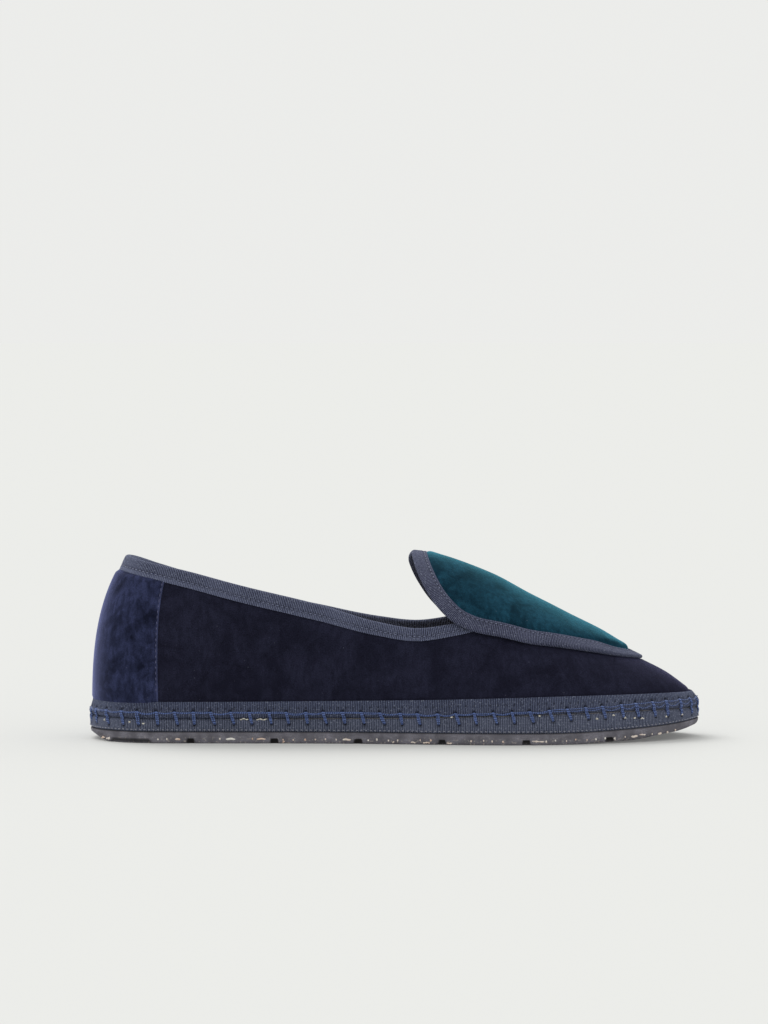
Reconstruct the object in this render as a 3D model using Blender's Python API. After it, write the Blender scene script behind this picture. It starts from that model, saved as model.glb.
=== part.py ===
"""A velvet slipper loafer, right foot, standing empty on its sole.

The shoe is an assembly of the pieces that a slipper maker sews together: a rubber outsole, a textile
midsole wrapped in grosgrain tape, a velvet upper whose lower edge is bound in the same tape, a heel
panel, a vamp that ends in a free tongue, the bindings of collar and vamp, and an insole.

Frame: metres, +Z up, +X to the toe, +Y to the medial side. The origin is on the floor, under the
middle of the shoe's length and width.

The last is one function. A point on it is named by theta, the way round the plan outline (0 at the
heel, pi at the toe, lateral side first), and by phi, the way over the section (0 at the sole line,
pi/2 on the ridge, pi back at the sole line of the other side).
"""

import math

import bmesh
import bpy
import numpy as np

MM = 0.001

# Driving dimensions
SHOE_LENGTH = 254 * MM
UPPER_INSET = 2.3 * MM
UPPER_WALL = 2.0 * MM
TAPE = 0.5 * MM
GAP = 0.3 * MM

RUBBER = 4.8 * MM
RUBBER_CHAMFER = 1.3 * MM
GROOVE_FIRST = 43 * MM
GROOVE_PITCH = 34.4 * MM
GROOVE_COUNT = 6
GROOVE_WIDTH = 3.2 * MM
GROOVE_DEPTH = 1.7 * MM

INSOLE = 2.5 * MM
INSOLE_INSET = 3.4 * MM

MIDSOLE_BULGE = 0.2 * MM
EDGE_TAPE_HEIGHT = 7.0 * MM
EDGE_TAPE_AT_TOE = 5.95 * MM
EDGE_TAPE_LEAN = (180 * MM, 250 * MM)
EDGE_TAPE_FLARE = 1.5 * MM
COLLAR_TAPE_WIDTH = 7.0 * MM
COLLAR_TAPE_AT_THROAT = 5.8 * MM
COLLAR_TAPE_NARROWS = (85 * MM, 125 * MM)
COLLAR_TAPE_ROUND = 0.75 * MM
COLLAR_TAPE_END = 162 * MM

HEEL_PANEL = 1.0 * MM
HEEL_SEAM_LOW = 29.5 * MM
HEEL_SEAM_HIGH = 24 * MM

VAMP_REAR = 133.1 * MM
VAMP_TIP = 231.3 * MM
VAMP_WIDE_REAR = 153 * MM
VAMP_WIDE_FRONT = 172 * MM
VAMP_HALF_ANGLE = math.radians(49)
VAMP_REAR_POWER = 2.3
VAMP_TIP_POWER = 2.2
VAMP_TIP_ROUND = 0.75
VAMP_EDGE = 0.8 * MM
VAMP_PADDING = 0.95 * MM
VAMP_PADDING_SLOPE = 3 * MM
VAMP_TAPE_WIDTH = 6.6 * MM
VAMP_TAPE_ROUND = 0.6 * MM
VAMP_MITRE = 0.25 * MM
TONGUE_LIFT = 0.9 * MM
TONGUE_LIFT_ENDS = (166 * MM, 184 * MM)

HEEL_CAP = 30 * MM
HEEL_CAP_POWER = 2.2
TOE_CAP = 175 * MM
TOE_CAP_POWER = 2.0

# One row for each section of the last, in millimetres. Station is the distance from the back of the
# heel. Lateral and medial are half widths of the sole about the axis, before the heel and the toe
# round them off, and axis is how far the last swings to the medial side. Seam is the top of the
# midsole, lift the toe spring. The ridge is the top line of the closed last, at ridge_x. Rise and
# swell are the powers of the section's arch. Topline is the height of the collar and of the throat
# on the lateral side, and drop is how much lower it runs on the medial side.
COLUMNS = (
    *("station", "lateral", "medial", "axis", "seam", "lift"),
    *("ridge_x", "ridge", "rise", "swell", "topline", "drop"),
)
SECTIONS = (
    (0, 28.0, 28.0, 0.0, 9.8, 0.0, 63.3, 100.0, 2.80, 2.00, 75.9, 0.0),
    (30, 30.5, 29.5, 0.0, 9.8, 0.0, 70.0, 97.5, 2.75, 2.00, 71.4, 2.6),
    (62, 31.0, 27.8, 0.0, 9.9, 0.0, 81.0, 93.5, 2.60, 2.00, 64.3, 3.4),
    (95, 32.0, 26.8, 0.4, 10.2, 0.0, 99.0, 88.4, 2.40, 2.00, 57.0, 2.6),
    (120, 35.0, 29.2, 1.2, 10.6, 0.0, 120.5, 81.0, 2.20, 2.00, 49.9, 1.4),
    (136, 38.0, 33.0, 1.9, 10.9, 0.0, 136.0, 75.4, 2.05, 1.95, 47.5, 0.9),
    (150, 40.8, 36.6, 2.6, 11.3, 0.0, 150.0, 71.2, 1.95, 1.90, 49.2, 0.5),
    (164, 43.0, 39.6, 3.3, 11.7, 0.0, 164.0, 65.8, 1.88, 1.85, 51.4, 0.2),
    (180, 44.3, 41.3, 4.1, 12.1, 0.0, 180.0, 58.4, 1.82, 1.80, 48.9, 0.0),
    (200, 44.2, 41.6, 5.0, 12.6, 0.1, 200.0, 48.1, 1.80, 1.80, 43.8, 0.0),
    (218, 43.0, 41.3, 5.7, 12.9, 0.7, 217.6, 38.3, 1.80, 1.80, 38.3, 0.0),
    (232, 42.0, 41.0, 6.1, 13.0, 1.4, 230.5, 31.8, 1.80, 1.80, 31.8, 0.0),
    (244, 41.0, 40.5, 6.4, 12.9, 2.3, 240.5, 26.3, 1.80, 1.80, 26.3, 0.0),
    (254, 40.0, 40.0, 6.5, 12.6, 3.3, 246.5, 21.5, 1.80, 1.80, 21.5, 0.0),
)
PLAIN_COLUMNS = ("rise", "swell")

# The outer leg of the edge tape, flared over the midsole: share of its height, and millimetres off
# the last, up its outside and down its inside.
EDGE_TAPE_PROFILE = (
    *((0.19, 1.95), (0.46, 1.85), (0.74, 1.35), (1.0, 0.85)),
    *((1.0, 0.35), (0.74, 0.8), (0.46, 1.3), (0.2, 1.4)),
)

# Fineness of the solids
SIDE_STATIONS = 36
WALL_ROWS = 9
HEEL_PANEL_GRID = (8, 15)
COLLAR_STATIONS = 64
VAMP_ROWS = 28
VAMP_COLUMNS = 14
VAMP_TAPE_STATIONS = 34
STEP = 1e-4
WELD = 1e-6


def column(name, station):
    """A column of SECTIONS at these stations, by cubic Hermite arcs through its rows."""
    rows = np.array(SECTIONS, float)
    at = rows[:, 0] * MM
    value = rows[:, COLUMNS.index(name)] * (1.0 if name in PLAIN_COLUMNS else MM)
    slope = np.gradient(value, at)
    station = np.clip(station, at[0], at[-1])
    i = np.clip(np.searchsorted(at, station, side="right") - 1, 0, len(at) - 2)
    span = at[i + 1] - at[i]
    t = (station - at[i]) / span
    rise = value[i] * (1 + 2 * t) * (1 - t) ** 2 + value[i + 1] * (3 - 2 * t) * t**2
    bend = slope[i] * t * (1 - t) ** 2 - slope[i + 1] * (1 - t) * t**2
    return rise + span * bend


def rounding(distance, reach, power, root):
    """1 inside the cap, falling to 0 at its end, as a superellipse does."""
    share = np.clip(distance / reach, 0, 1)
    return np.maximum(1 - share**power, 0) ** root


def ease(value, start, end):
    """0 up to start and 1 from end on, with a smooth rise between."""
    share = np.clip((value - start) / (end - start), 0, 1)
    return share**2 * (3 - 2 * share)


def station_of(theta):
    """The station on the sole's outline at theta."""
    return SHOE_LENGTH * (1 - np.cos(theta)) / 2


def sole_outline(theta):
    """Plan points of the sole's outer edge."""
    theta = np.asarray(theta, float)
    station = station_of(theta)
    lateral = np.sin(theta) >= 0
    width = np.where(lateral, column("lateral", station), column("medial", station))
    width = width * rounding(HEEL_CAP - station, HEEL_CAP, HEEL_CAP_POWER, 1 / HEEL_CAP_POWER)
    width = width * rounding(station - TOE_CAP, SHOE_LENGTH - TOE_CAP, TOE_CAP_POWER, 1 / TOE_CAP_POWER)
    side = np.where(lateral, -1.0, 1.0)
    return np.stack([station, column("axis", station) + side * width], axis=-1)


def outline(theta, grow=0.0):
    """Plan points of the upper's sole line, moved outwards by grow along its plan normal."""
    theta = np.asarray(theta, float)
    along = sole_outline(theta + STEP) - sole_outline(theta - STEP)
    normal = np.stack([along[..., 1], -along[..., 0]], axis=-1)
    normal = normal / np.linalg.norm(normal, axis=-1, keepdims=True)
    return sole_outline(theta) + normal * np.asarray(grow - UPPER_INSET)[..., None]


def sole_line(theta):
    """Height of the upper's lower edge, which stands on the fold of its own tape."""
    return column("seam", station_of(theta)) + 2 * GAP + TAPE


def last(theta, phi):
    """Points on the outside of the upper.

    A section runs from the sole line to the ridge. Its height rises as the sine of phi and its plan
    place moves in as the cosine, each to a power from the table, which makes the arch of the last.
    """
    theta, phi = np.broadcast_arrays(np.asarray(theta, float), np.asarray(phi, float))
    over = phi > math.pi / 2
    theta = np.where(over, -theta, theta)
    phi = np.where(over, math.pi - phi, phi)
    station = station_of(theta)
    out = np.clip(np.cos(phi), 0, 1) ** (2 / column("swell", station))
    up = np.clip(np.sin(phi), 0, 1) ** (2 / column("rise", station))
    base = sole_line(theta)
    ridge_x = column("ridge_x", station)
    ridge = np.stack([ridge_x, column("axis", ridge_x)], axis=-1)
    plan = outline(theta) * out[..., None] + ridge * (1 - out[..., None])
    height = base + (column("ridge", station) - base) * up
    return np.concatenate([plan, height[..., None]], axis=-1)


def tangents(theta, phi):
    """The last's two tangents, along theta and along phi.

    The ridge ends in a point at the heel and at the toe, so they are taken just beside it there.
    """
    at_end = np.abs(np.sin(theta)) < 1e-3
    phi = np.where(at_end & (np.abs(phi - math.pi / 2) < 0.02), math.pi / 2 - 0.02, phi)
    return (
        (last(theta + STEP, phi) - last(theta - STEP, phi)) / (2 * STEP),
        (last(theta, phi + STEP) - last(theta, phi - STEP)) / (2 * STEP),
    )


def unit(vectors):
    """The vectors at length 1."""
    return vectors / np.linalg.norm(vectors, axis=-1, keepdims=True)


def on_last(theta, phi, lift=0.0):
    """Points held off the last by lift along its normal; a negative lift is inside the shoe."""
    theta, phi, lift = np.broadcast_arrays(theta, phi, lift)
    phi = np.maximum(phi, STEP)
    around, over = tangents(theta, phi)
    normal = unit(np.cross(around, over))
    return last(theta, phi) + normal * lift[..., None]


def height_angle(theta, height):
    """The angle phi at which the section at theta reaches a height above the floor."""
    station = station_of(theta)
    base = sole_line(theta)
    share = np.clip((height - base) / (column("ridge", station) - base), 0, 1)
    return np.arcsin(share ** (column("rise", station) / 2))


def step_in(theta, phi, path_step, width):
    """Moves points on the last sideways from a path, staying on the last.

    path_step is the path's own (theta, phi) direction, and width the distance to its left.
    """
    around, over = tangents(theta, phi)
    ahead = unit(around * path_step[0][..., None] + over * path_step[1][..., None])
    aside = np.cross(unit(np.cross(around, over)), ahead) * np.asarray(width)[..., None]
    aa, ab, bb = (np.sum(p * q, axis=-1) for p, q in ((around, around), (around, over), (over, over)))
    da, db = np.sum(around * aside, axis=-1), np.sum(over * aside, axis=-1)
    area = aa * bb - ab * ab
    return theta + (bb * da - ab * db) / area, phi + (aa * db - ab * da) / area


def ribbon(theta, phi, profile, closed, keep=None):
    """Rings of a folded tape that follows a path on the last.

    Each row of profile is (distance to the left of the path, lift off the last). keep may limit the
    angles of each shifted point.
    """
    if closed:
        path_step = [(np.roll(a, -1) - np.roll(a, 1)) for a in (np.unwrap(theta), phi)]
        path_step[0] = (path_step[0] + math.pi) % (2 * math.pi) - math.pi
    else:
        path_step = [np.gradient(theta), np.gradient(phi)]
    rings = []
    for width, lift in profile:
        shifted = step_in(theta, phi, path_step, width)
        if keep:
            shifted = keep(*shifted, width)
        rings.append(on_last(*shifted, lift))
    return np.stack(rings, axis=1)


def grid_faces(rows, columns, wrap_rows=False, wrap_columns=False, start=0):
    """Quads between the points of a grid, numbered row by row."""
    faces = []
    for r in range(rows if wrap_rows else rows - 1):
        for c in range(columns if wrap_columns else columns - 1):
            below, beside = (r + 1) % rows, (c + 1) % columns
            corners = ((r, c), (r, beside), (below, beside), (below, c))
            faces.append(tuple(start + i * columns + j for i, j in corners))
    return faces


def add_piece(name, points, faces, material, smooth=True):
    """One named object from points and faces, with coincident points joined and normals facing out."""
    points = np.asarray(points, float).reshape(-1, 3) - ORIGIN
    mesh = bpy.data.meshes.new(name)
    mesh.from_pydata(points.tolist(), [], faces)
    work = bmesh.new()
    work.from_mesh(mesh)
    bmesh.ops.remove_doubles(work, verts=work.verts, dist=WELD)
    bmesh.ops.dissolve_degenerate(work, edges=work.edges, dist=WELD)
    bmesh.ops.recalc_face_normals(work, faces=work.faces)
    work.to_mesh(mesh)
    work.free()
    mesh.materials.append(material)
    if smooth:
        mesh.shade_smooth()
        mesh.set_sharp_from_angle(angle=math.radians(40))
    piece = bpy.data.objects.new(name, mesh)
    bpy.context.scene.collection.objects.link(piece)
    return piece


def add_tape(name, rings, closed, material):
    """A tape from its rings: a closed loop, or a strip with both ends filled."""
    rows, columns = rings.shape[:2]
    faces = grid_faces(rows, columns, wrap_rows=closed, wrap_columns=True)
    if not closed:
        faces.append(tuple(range(columns)))
        faces.append(tuple((rows - 1) * columns + c for c in range(columns)))
    return add_piece(name, rings, faces, material)


def add_plate(name, outer, inner, material):
    """A thin curved plate between two grids of the same size."""
    rows, columns = outer.shape[:2]
    count = rows * columns
    faces = grid_faces(rows, columns) + grid_faces(rows, columns, start=count)
    border = list(range(columns))
    border += [r * columns + columns - 1 for r in range(1, rows)]
    border += [(rows - 1) * columns + c for c in range(columns - 2, -1, -1)]
    border += [r * columns for r in range(rows - 2, 0, -1)]
    for a, b in zip(border, border[1:] + border[:1]):
        faces.append((a, b, b + count, a + count))
    return add_piece(name, np.concatenate([outer, inner]), faces, material)


def all_round():
    """The angles theta of the rings that go right round the shoe."""
    return np.arange(2 * SIDE_STATIONS) * math.pi / SIDE_STATIONS


def level_ring(theta, grow, height):
    """A ring round the shoe, grown from the sole line in plan and at these heights."""
    return np.concatenate([outline(theta, grow), height[:, None]], axis=-1)


def add_slab(name, levels, material):
    """A slab with the plan of the sole. Each level is (grow, function of station giving height)."""
    theta = all_round()
    count = len(theta)
    rings = [level_ring(theta, grow, height(station_of(theta))) for grow, height in levels]
    faces = grid_faces(len(rings), count, wrap_columns=True)
    for level in (0, len(rings) - 1):
        for i in range(SIDE_STATIONS):
            across = [i, i + 1, (count - i - 1) % count, (count - i) % count]
            ordered = list(dict.fromkeys(across))
            faces.append(tuple(level * count + k for k in ordered))
    return add_piece(name, np.stack(rings), faces, material, smooth=False)


def make_material(name, colour, roughness):
    material = bpy.data.materials.new(name)
    material.use_nodes = True
    shader = material.node_tree.nodes["Principled BSDF"]
    shader.inputs["Base Color"].default_value = (*colour, 1.0)
    shader.inputs["Roughness"].default_value = roughness
    shader.inputs["Metallic"].default_value = 0.0
    return material


def lift(station):
    """Height of the tread, which lies flat on the floor behind the toe spring."""
    return np.maximum(column("lift", station), 0)


def rubber_top(station):
    return lift(station) + RUBBER


def seam(station):
    return column("seam", station)


def make_outsole(material):
    """Rubber sole with a chamfered lower edge and straight grooves across the tread."""
    levels = (
        (UPPER_INSET - RUBBER_CHAMFER, lift),
        (UPPER_INSET, lambda s: lift(s) + RUBBER_CHAMFER),
        (UPPER_INSET, rubber_top),
    )
    outsole = add_slab("outsole", levels, material)
    for i in range(GROOVE_COUNT):
        station = GROOVE_FIRST + i * GROOVE_PITCH
        floor = float(lift(np.array(station)))
        bpy.ops.mesh.primitive_cube_add(size=1)
        cutter = bpy.context.object
        cutter.name = f"groove_cutter_{i + 1}"
        cutter.scale = (GROOVE_WIDTH, SHOE_LENGTH / 2, 2 * GROOVE_DEPTH)
        cutter.location = (station - ORIGIN[0], 0, floor)
        cutter.hide_render = True
        cutter.display_type = "WIRE"
        cut = outsole.modifiers.new(f"groove_{i + 1}", "BOOLEAN")
        cut.operation = "DIFFERENCE"
        cut.object = cutter


def make_sole_layers(materials):
    """Midsole, the tape round it, and the insole."""
    tape_in = UPPER_INSET - MIDSOLE_BULGE - TAPE
    add_slab(
        "midsole",
        ((tape_in - GAP, lambda s: rubber_top(s) + GAP), (tape_in - GAP, seam)),
        materials["core"],
    )
    theta = all_round()
    station = station_of(theta)
    low, high = rubber_top(station) + GAP, seam(station)
    profile = (
        (0.0, tape_in),
        (0.0, tape_in + TAPE),
        (0.5, UPPER_INSET),
        (1.0, tape_in + TAPE),
        (1.0, tape_in),
    )
    rings = [level_ring(theta, grow, low + (high - low) * share) for share, grow in profile]
    add_tape("sole_tape", np.stack(rings, axis=1), True, materials["tape"])
    add_slab(
        "insole",
        ((-INSOLE_INSET, lambda s: seam(s) + GAP), (-INSOLE_INSET, lambda s: seam(s) + GAP + INSOLE)),
        materials["lining"],
    )


def edge_tape_height(station):
    """The tape leans over with the toe, so it stands lower there."""
    return EDGE_TAPE_HEIGHT + (EDGE_TAPE_AT_TOE - EDGE_TAPE_HEIGHT) * ease(station, *EDGE_TAPE_LEAN)


def make_edge_tape(material):
    """The tape that binds the upper's lower edge: folded under it, then up and in along the velvet."""
    theta = all_round()
    base = seam(station_of(theta))
    tall = edge_tape_height(station_of(theta))
    rings = [level_ring(theta, grow, base + GAP) for grow in (-UPPER_WALL, EDGE_TAPE_FLARE)]
    for share, out in EDGE_TAPE_PROFILE:
        rings.append(on_last(theta, height_angle(theta, base + share * tall), out * MM))
    inside = (EDGE_TAPE_FLARE - TAPE, -UPPER_WALL)
    rings += [level_ring(theta, grow, base + GAP + TAPE) for grow in inside]
    add_tape("edge_tape", np.stack(rings, axis=1), True, material)


def topline(theta):
    """Height of the collar's and throat's edge."""
    station = station_of(theta)
    return column("topline", station) - np.where(np.sin(theta) < 0, column("drop", station), 0.0)


def topline_angle(theta, below=0.0):
    """The angle of the collar's and throat's edge, or of a line that far below it."""
    return height_angle(theta, topline(theta) - below)


def make_upper(material):
    """The quarters: one hollow wall round heel and toe, open at collar and throat and underneath."""
    side = np.linspace(0, math.pi, SIDE_STATIONS + 1)
    theta = np.concatenate([side, side[-2:0:-1] * -1])
    closed = column("ridge", station_of(theta)) - column("topline", station_of(theta)) < 1e-7
    edge = np.where(closed, math.pi / 2, topline_angle(theta, 2 * GAP + TAPE))
    share = np.linspace(0, 1, WALL_ROWS + 1)
    phi = edge[:, None] * share
    outer = on_last(theta[:, None], phi, 0.0)
    inner = on_last(theta[:, None], phi, -UPPER_WALL)
    ends = closed.nonzero()[0]
    for grid in (outer, inner):
        for i in ends:
            partner = (len(theta) - i) % len(theta)
            grid[i, -1] = (grid[i, -1] + grid[partner, -1]) / 2
            grid[partner, -1] = grid[i, -1]
    rows, columns = outer.shape[:2]
    count = rows * columns
    faces = grid_faces(rows, columns, wrap_rows=True) + grid_faces(rows, columns, wrap_rows=True, start=count)
    for i in range(rows):
        j = (i + 1) % rows
        faces.append((i * columns, j * columns, j * columns + count, i * columns + count))
        if not (closed[i] and closed[j]):
            a, b = i * columns + columns - 1, j * columns + columns - 1
            faces.append((a, b, b + count, a + count))
    add_piece("upper", np.concatenate([outer, inner]), faces, material)


def make_heel_panel(material):
    """The back panel, laid over the quarters between the two tapes."""
    rows, columns = HEEL_PANEL_GRID
    share = np.linspace(0, 1, rows)
    seam_station = HEEL_SEAM_LOW + (HEEL_SEAM_HIGH - HEEL_SEAM_LOW) * share
    reach = np.arccos(1 - 2 * seam_station / SHOE_LENGTH)
    theta = reach[:, None] * np.linspace(-1, 1, columns)
    low = height_angle(theta, seam(station_of(theta)) + EDGE_TAPE_HEIGHT + 2 * GAP)
    high = topline_angle(theta, COLLAR_TAPE_WIDTH + 3 * GAP)
    phi = low + (high - low) * share[:, None]
    outer = on_last(theta, phi, GAP + HEEL_PANEL)
    inner = on_last(theta, phi, GAP)
    add_plate("heel_panel", outer, inner, material)


def collar_tape_width(station):
    narrowing = ease(station, *COLLAR_TAPE_NARROWS)
    return COLLAR_TAPE_WIDTH + (COLLAR_TAPE_AT_THROAT - COLLAR_TAPE_WIDTH) * narrowing


def make_collar_binding(material):
    """Tape folded over the collar's edge; both ends run in under the vamp."""
    end = math.acos(1 - 2 * COLLAR_TAPE_END / SHOE_LENGTH)
    theta = np.linspace(-end, end, COLLAR_STATIONS)
    phi = topline_angle(theta)
    outside, inside = GAP + TAPE, -UPPER_WALL - GAP - TAPE
    fold = TAPE + GAP / 2
    turn = COLLAR_TAPE_ROUND
    wide = collar_tape_width(station_of(theta))
    profile = (
        (wide, outside),
        (wide, GAP),
        (fold, GAP),
        (fold, -UPPER_WALL - GAP),
        (wide, -UPPER_WALL - GAP),
        (wide, inside),
        (turn, inside),
        (0.0, inside + turn),
        (0.0, outside - turn),
        (turn, outside),
    )
    rings = ribbon(theta, phi, [(-w, h) for w, h in profile], closed=False)
    add_tape("collar_binding", rings, False, material)


def vamp_half_angle(station, inset=0.0):
    """Half the vamp's angle over the ridge at a station, with its edge moved in by inset."""
    rear, tip = VAMP_REAR + inset, VAMP_TIP - inset
    theta = np.arccos(1 - 2 * station / SHOE_LENGTH)
    edge = math.pi / 2 - VAMP_HALF_ANGLE
    across = np.linalg.norm(tangents(theta, np.full_like(theta, edge))[1], axis=-1)
    angle = VAMP_HALF_ANGLE - inset / across
    angle = angle * rounding(VAMP_WIDE_REAR - station, VAMP_WIDE_REAR - rear, VAMP_REAR_POWER, 1 / VAMP_REAR_POWER)
    return angle * rounding(station - VAMP_WIDE_FRONT, tip - VAMP_WIDE_FRONT, VAMP_TIP_POWER, VAMP_TIP_ROUND)


def vamp_stations(inset, rows):
    """Stations from the tongue's edge to the tip, closer together at both ends."""
    turn = np.linspace(0, math.pi, rows)
    rear, tip = VAMP_REAR + inset, VAMP_TIP - inset
    return rear + (tip - rear) * (1 - np.cos(turn)) / 2


def tongue_lift(station):
    """How much higher the vamp rides where the collar's tape passes under it."""
    return TONGUE_LIFT * (1 - ease(station, *TONGUE_LIFT_ENDS))


def vamp_spread(theta, half):
    """Shares of the half angle for the vamp's columns: some are set by the tape's width, the rest even."""
    width = half * np.linalg.norm(tangents(theta, math.pi / 2 - half)[1], axis=-1)
    count = VAMP_COLUMNS // 2
    in_from_edge = np.array([0, 0.5, 1.0, 1.5]) * VAMP_TAPE_WIDTH
    even = np.arange(count + 1) / count
    near = np.minimum(in_from_edge, width * even[: len(in_from_edge)])
    rest = near[:, -1:] + (width - near[:, -1:]) * np.linspace(0, 1, count - 2)[1:]
    inward = np.concatenate([near, rest], axis=1) / np.maximum(width, 1e-9)
    return np.concatenate([inward[:, :-1] - 1, 1 - inward[:, ::-1]], axis=1)


def make_vamp(material):
    """The padded vamp: thin at the bound edge, thicker in its field, and free behind the throat."""
    inset = TAPE + 2 * GAP
    station = vamp_stations(inset, VAMP_ROWS + 1)
    theta = np.arccos(1 - 2 * station / SHOE_LENGTH)[:, None]
    half = vamp_half_angle(station, inset)[:, None]
    phi = math.pi / 2 + half * vamp_spread(theta, half)
    place = last(theta, phi)
    border = np.concatenate([place[:, 0], place[:, -1], place[0], place[-1]])
    to_edge = np.linalg.norm(place[:, :, None] - border, axis=-1).min(axis=-1)
    under = GAP + TAPE + GAP + tongue_lift(station)[:, None]
    padding = VAMP_PADDING * ease(to_edge, VAMP_TAPE_WIDTH, VAMP_TAPE_WIDTH + VAMP_PADDING_SLOPE)
    over = under + VAMP_EDGE + padding
    add_plate("vamp", on_last(theta, phi, over), on_last(theta, phi, under), material)


def make_vamp_binding(material):
    """Tape folded over the vamp's edge all round, mitred at the tip."""
    station = vamp_stations(0.0, VAMP_TAPE_STATIONS)
    half = vamp_half_angle(station)
    out = np.arccos(1 - 2 * station / SHOE_LENGTH)
    theta = np.concatenate([out, out[-2:0:-1]])
    phi = math.pi / 2 + np.concatenate([-half, half[-2:0:-1]])
    rise = tongue_lift(station_of(theta))
    across = np.linalg.norm(tangents(theta, np.full_like(theta, math.pi / 3))[1], axis=-1)

    def mitre(at_theta, at_phi, width):
        """Keeps a leg of the tape on its own side of the ridge, a hair from the other leg."""
        if width == 0:
            return at_theta, at_phi
        side = np.sign(phi - math.pi / 2)
        least = VAMP_MITRE / across * (np.abs(phi - math.pi / 2) > WELD)
        return at_theta, math.pi / 2 + side * np.maximum(side * (at_phi - math.pi / 2), least)

    bottom = GAP
    top = GAP + TAPE + GAP + VAMP_EDGE + GAP + TAPE
    turn = VAMP_TAPE_ROUND
    profile = (
        (VAMP_TAPE_WIDTH, top),
        (VAMP_TAPE_WIDTH, top - TAPE),
        (TAPE, top - TAPE),
        (TAPE, bottom + TAPE),
        (VAMP_TAPE_WIDTH, bottom + TAPE),
        (VAMP_TAPE_WIDTH, bottom),
        (turn, bottom),
        (0.0, bottom + turn),
        (0.0, top - turn),
        (turn, top),
    )
    rings = ribbon(theta, phi, profile, closed=True, keep=mitre)
    around, over = tangents(theta, phi)
    normal = unit(np.cross(around, over))
    rings = rings + (normal * rise[:, None])[:, None, :]
    add_tape("vamp_binding", rings, True, material)


def clear_scene():
    """Removes the objects of the startup scene."""
    for thing in list(bpy.data.objects):
        bpy.data.objects.remove(thing, do_unlink=True)


def sole_middle():
    """The middle of the shoe's length and width, on the floor."""
    edge = sole_outline(np.linspace(0, 2 * math.pi, 2 * SIDE_STATIONS, endpoint=False))
    return np.array([SHOE_LENGTH / 2, (edge[:, 1].min() + edge[:, 1].max()) / 2, 0.0])


ORIGIN = sole_middle()


def main():
    clear_scene()
    velvet = make_material("navy_velvet", (0.012, 0.014, 0.035), 0.9)
    panel = make_material("navy_velvet_heel", (0.02, 0.024, 0.06), 0.9)
    teal = make_material("teal_velvet", (0.008, 0.08, 0.1), 0.9)
    rubber = make_material("dark_rubber", (0.07, 0.07, 0.075), 0.7)
    soft = {
        "tape": make_material("grosgrain_tape", (0.045, 0.055, 0.09), 0.85),
        "core": make_material("textile_core", (0.25, 0.22, 0.17), 0.95),
        "lining": make_material("cotton_lining", (0.5, 0.44, 0.34), 0.95),
    }
    make_outsole(rubber)
    make_sole_layers(soft)
    make_edge_tape(soft["tape"])
    make_upper(velvet)
    make_heel_panel(panel)
    make_collar_binding(soft["tape"])
    make_vamp(teal)
    make_vamp_binding(soft["tape"])


main()
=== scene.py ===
"""Looks of a velvet slipper loafer, right foot, dressed round its frame of plain solids.

Everything is in metres. A point of the upper is named by theta, the way round the plan outline (0 at the
heel, pi at the toe, the lateral side positive), and phi, the way over the section (0 at the sole line, pi/2
on the ridge, pi at the other side's sole line). The last, one function of the two, carries every piece.
"""

import logging
import math
from dataclasses import dataclass, field
from enum import Enum

import bmesh
import bpy
import numpy as np
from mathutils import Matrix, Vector
from numpy.typing import NDArray

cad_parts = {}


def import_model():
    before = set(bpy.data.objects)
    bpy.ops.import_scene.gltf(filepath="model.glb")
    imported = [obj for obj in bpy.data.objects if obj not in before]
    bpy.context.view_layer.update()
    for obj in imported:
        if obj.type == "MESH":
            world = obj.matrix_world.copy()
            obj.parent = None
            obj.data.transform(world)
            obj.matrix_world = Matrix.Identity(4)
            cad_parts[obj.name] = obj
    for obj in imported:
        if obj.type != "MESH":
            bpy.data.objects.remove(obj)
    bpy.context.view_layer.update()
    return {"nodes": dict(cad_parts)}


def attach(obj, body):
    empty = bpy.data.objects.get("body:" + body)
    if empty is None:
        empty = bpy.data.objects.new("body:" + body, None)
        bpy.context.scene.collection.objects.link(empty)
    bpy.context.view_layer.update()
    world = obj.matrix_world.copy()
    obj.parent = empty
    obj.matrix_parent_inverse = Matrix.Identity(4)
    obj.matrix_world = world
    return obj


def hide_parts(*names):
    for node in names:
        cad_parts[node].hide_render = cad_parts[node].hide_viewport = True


Array = NDArray[np.float64]
Faces = NDArray[np.int64]
Marks = dict[str, Array]
Lines = tuple[Array, Array]
Rows = tuple[tuple[float, ...], ...]
Pair = tuple[float, float]
Colour = tuple[float, float, float]
Piece = bpy.types.Object
Material = bpy.types.Material
Socket = bpy.types.NodeSocket
Tone = Socket | Colour

MM = 0.001
STEP = 1e-4
WELD = 1e-6
SHARP = math.radians(55)
PLY_TURN = 2.4 * MM
log = logging.getLogger("slipper")


class Slot(Enum):
    """Names of the material slots."""

    RUBBER = "rubber"
    CORE = "core"
    TAPE = "tape"
    LINING = "lining"
    NAVY = "navy_velvet"
    HEEL = "heel_velvet"
    TEAL = "teal_velvet"


class Pattern(Enum):
    """Where a finish reads its pattern from: the piece's place, or its own surface map in metres."""

    PLACE = "Object"
    SURFACE = "UV"


def ease(value: Array, start: float, end: float) -> Array:
    """Rises from 0 at start to 1 at end as 3t^2 - 2t^3.

    Args:
        value: Any numbers.
        start: Where the rise starts.
        end: Where the rise ends, which may lie below start.

    Returns:
        Numbers from 0 to 1.
    """
    share = np.clip((value - start) / (end - start), 0, 1)
    return share**2 * (3 - 2 * share)


def rounding(distance: Array, reach: float, power: float, root: float) -> Array:
    """1 inside a cap, falling to 0 at its end: (1 - (distance / reach)^power)^root.

    Args:
        distance: How far into the cap, in metres.
        reach: The cap's length.
        power: The superellipse's power.
        root: The outer power.

    Returns:
        The width's share.
    """
    share = np.clip(distance / reach, 0, 1)
    return np.maximum(1 - share**power, 0) ** root


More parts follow.
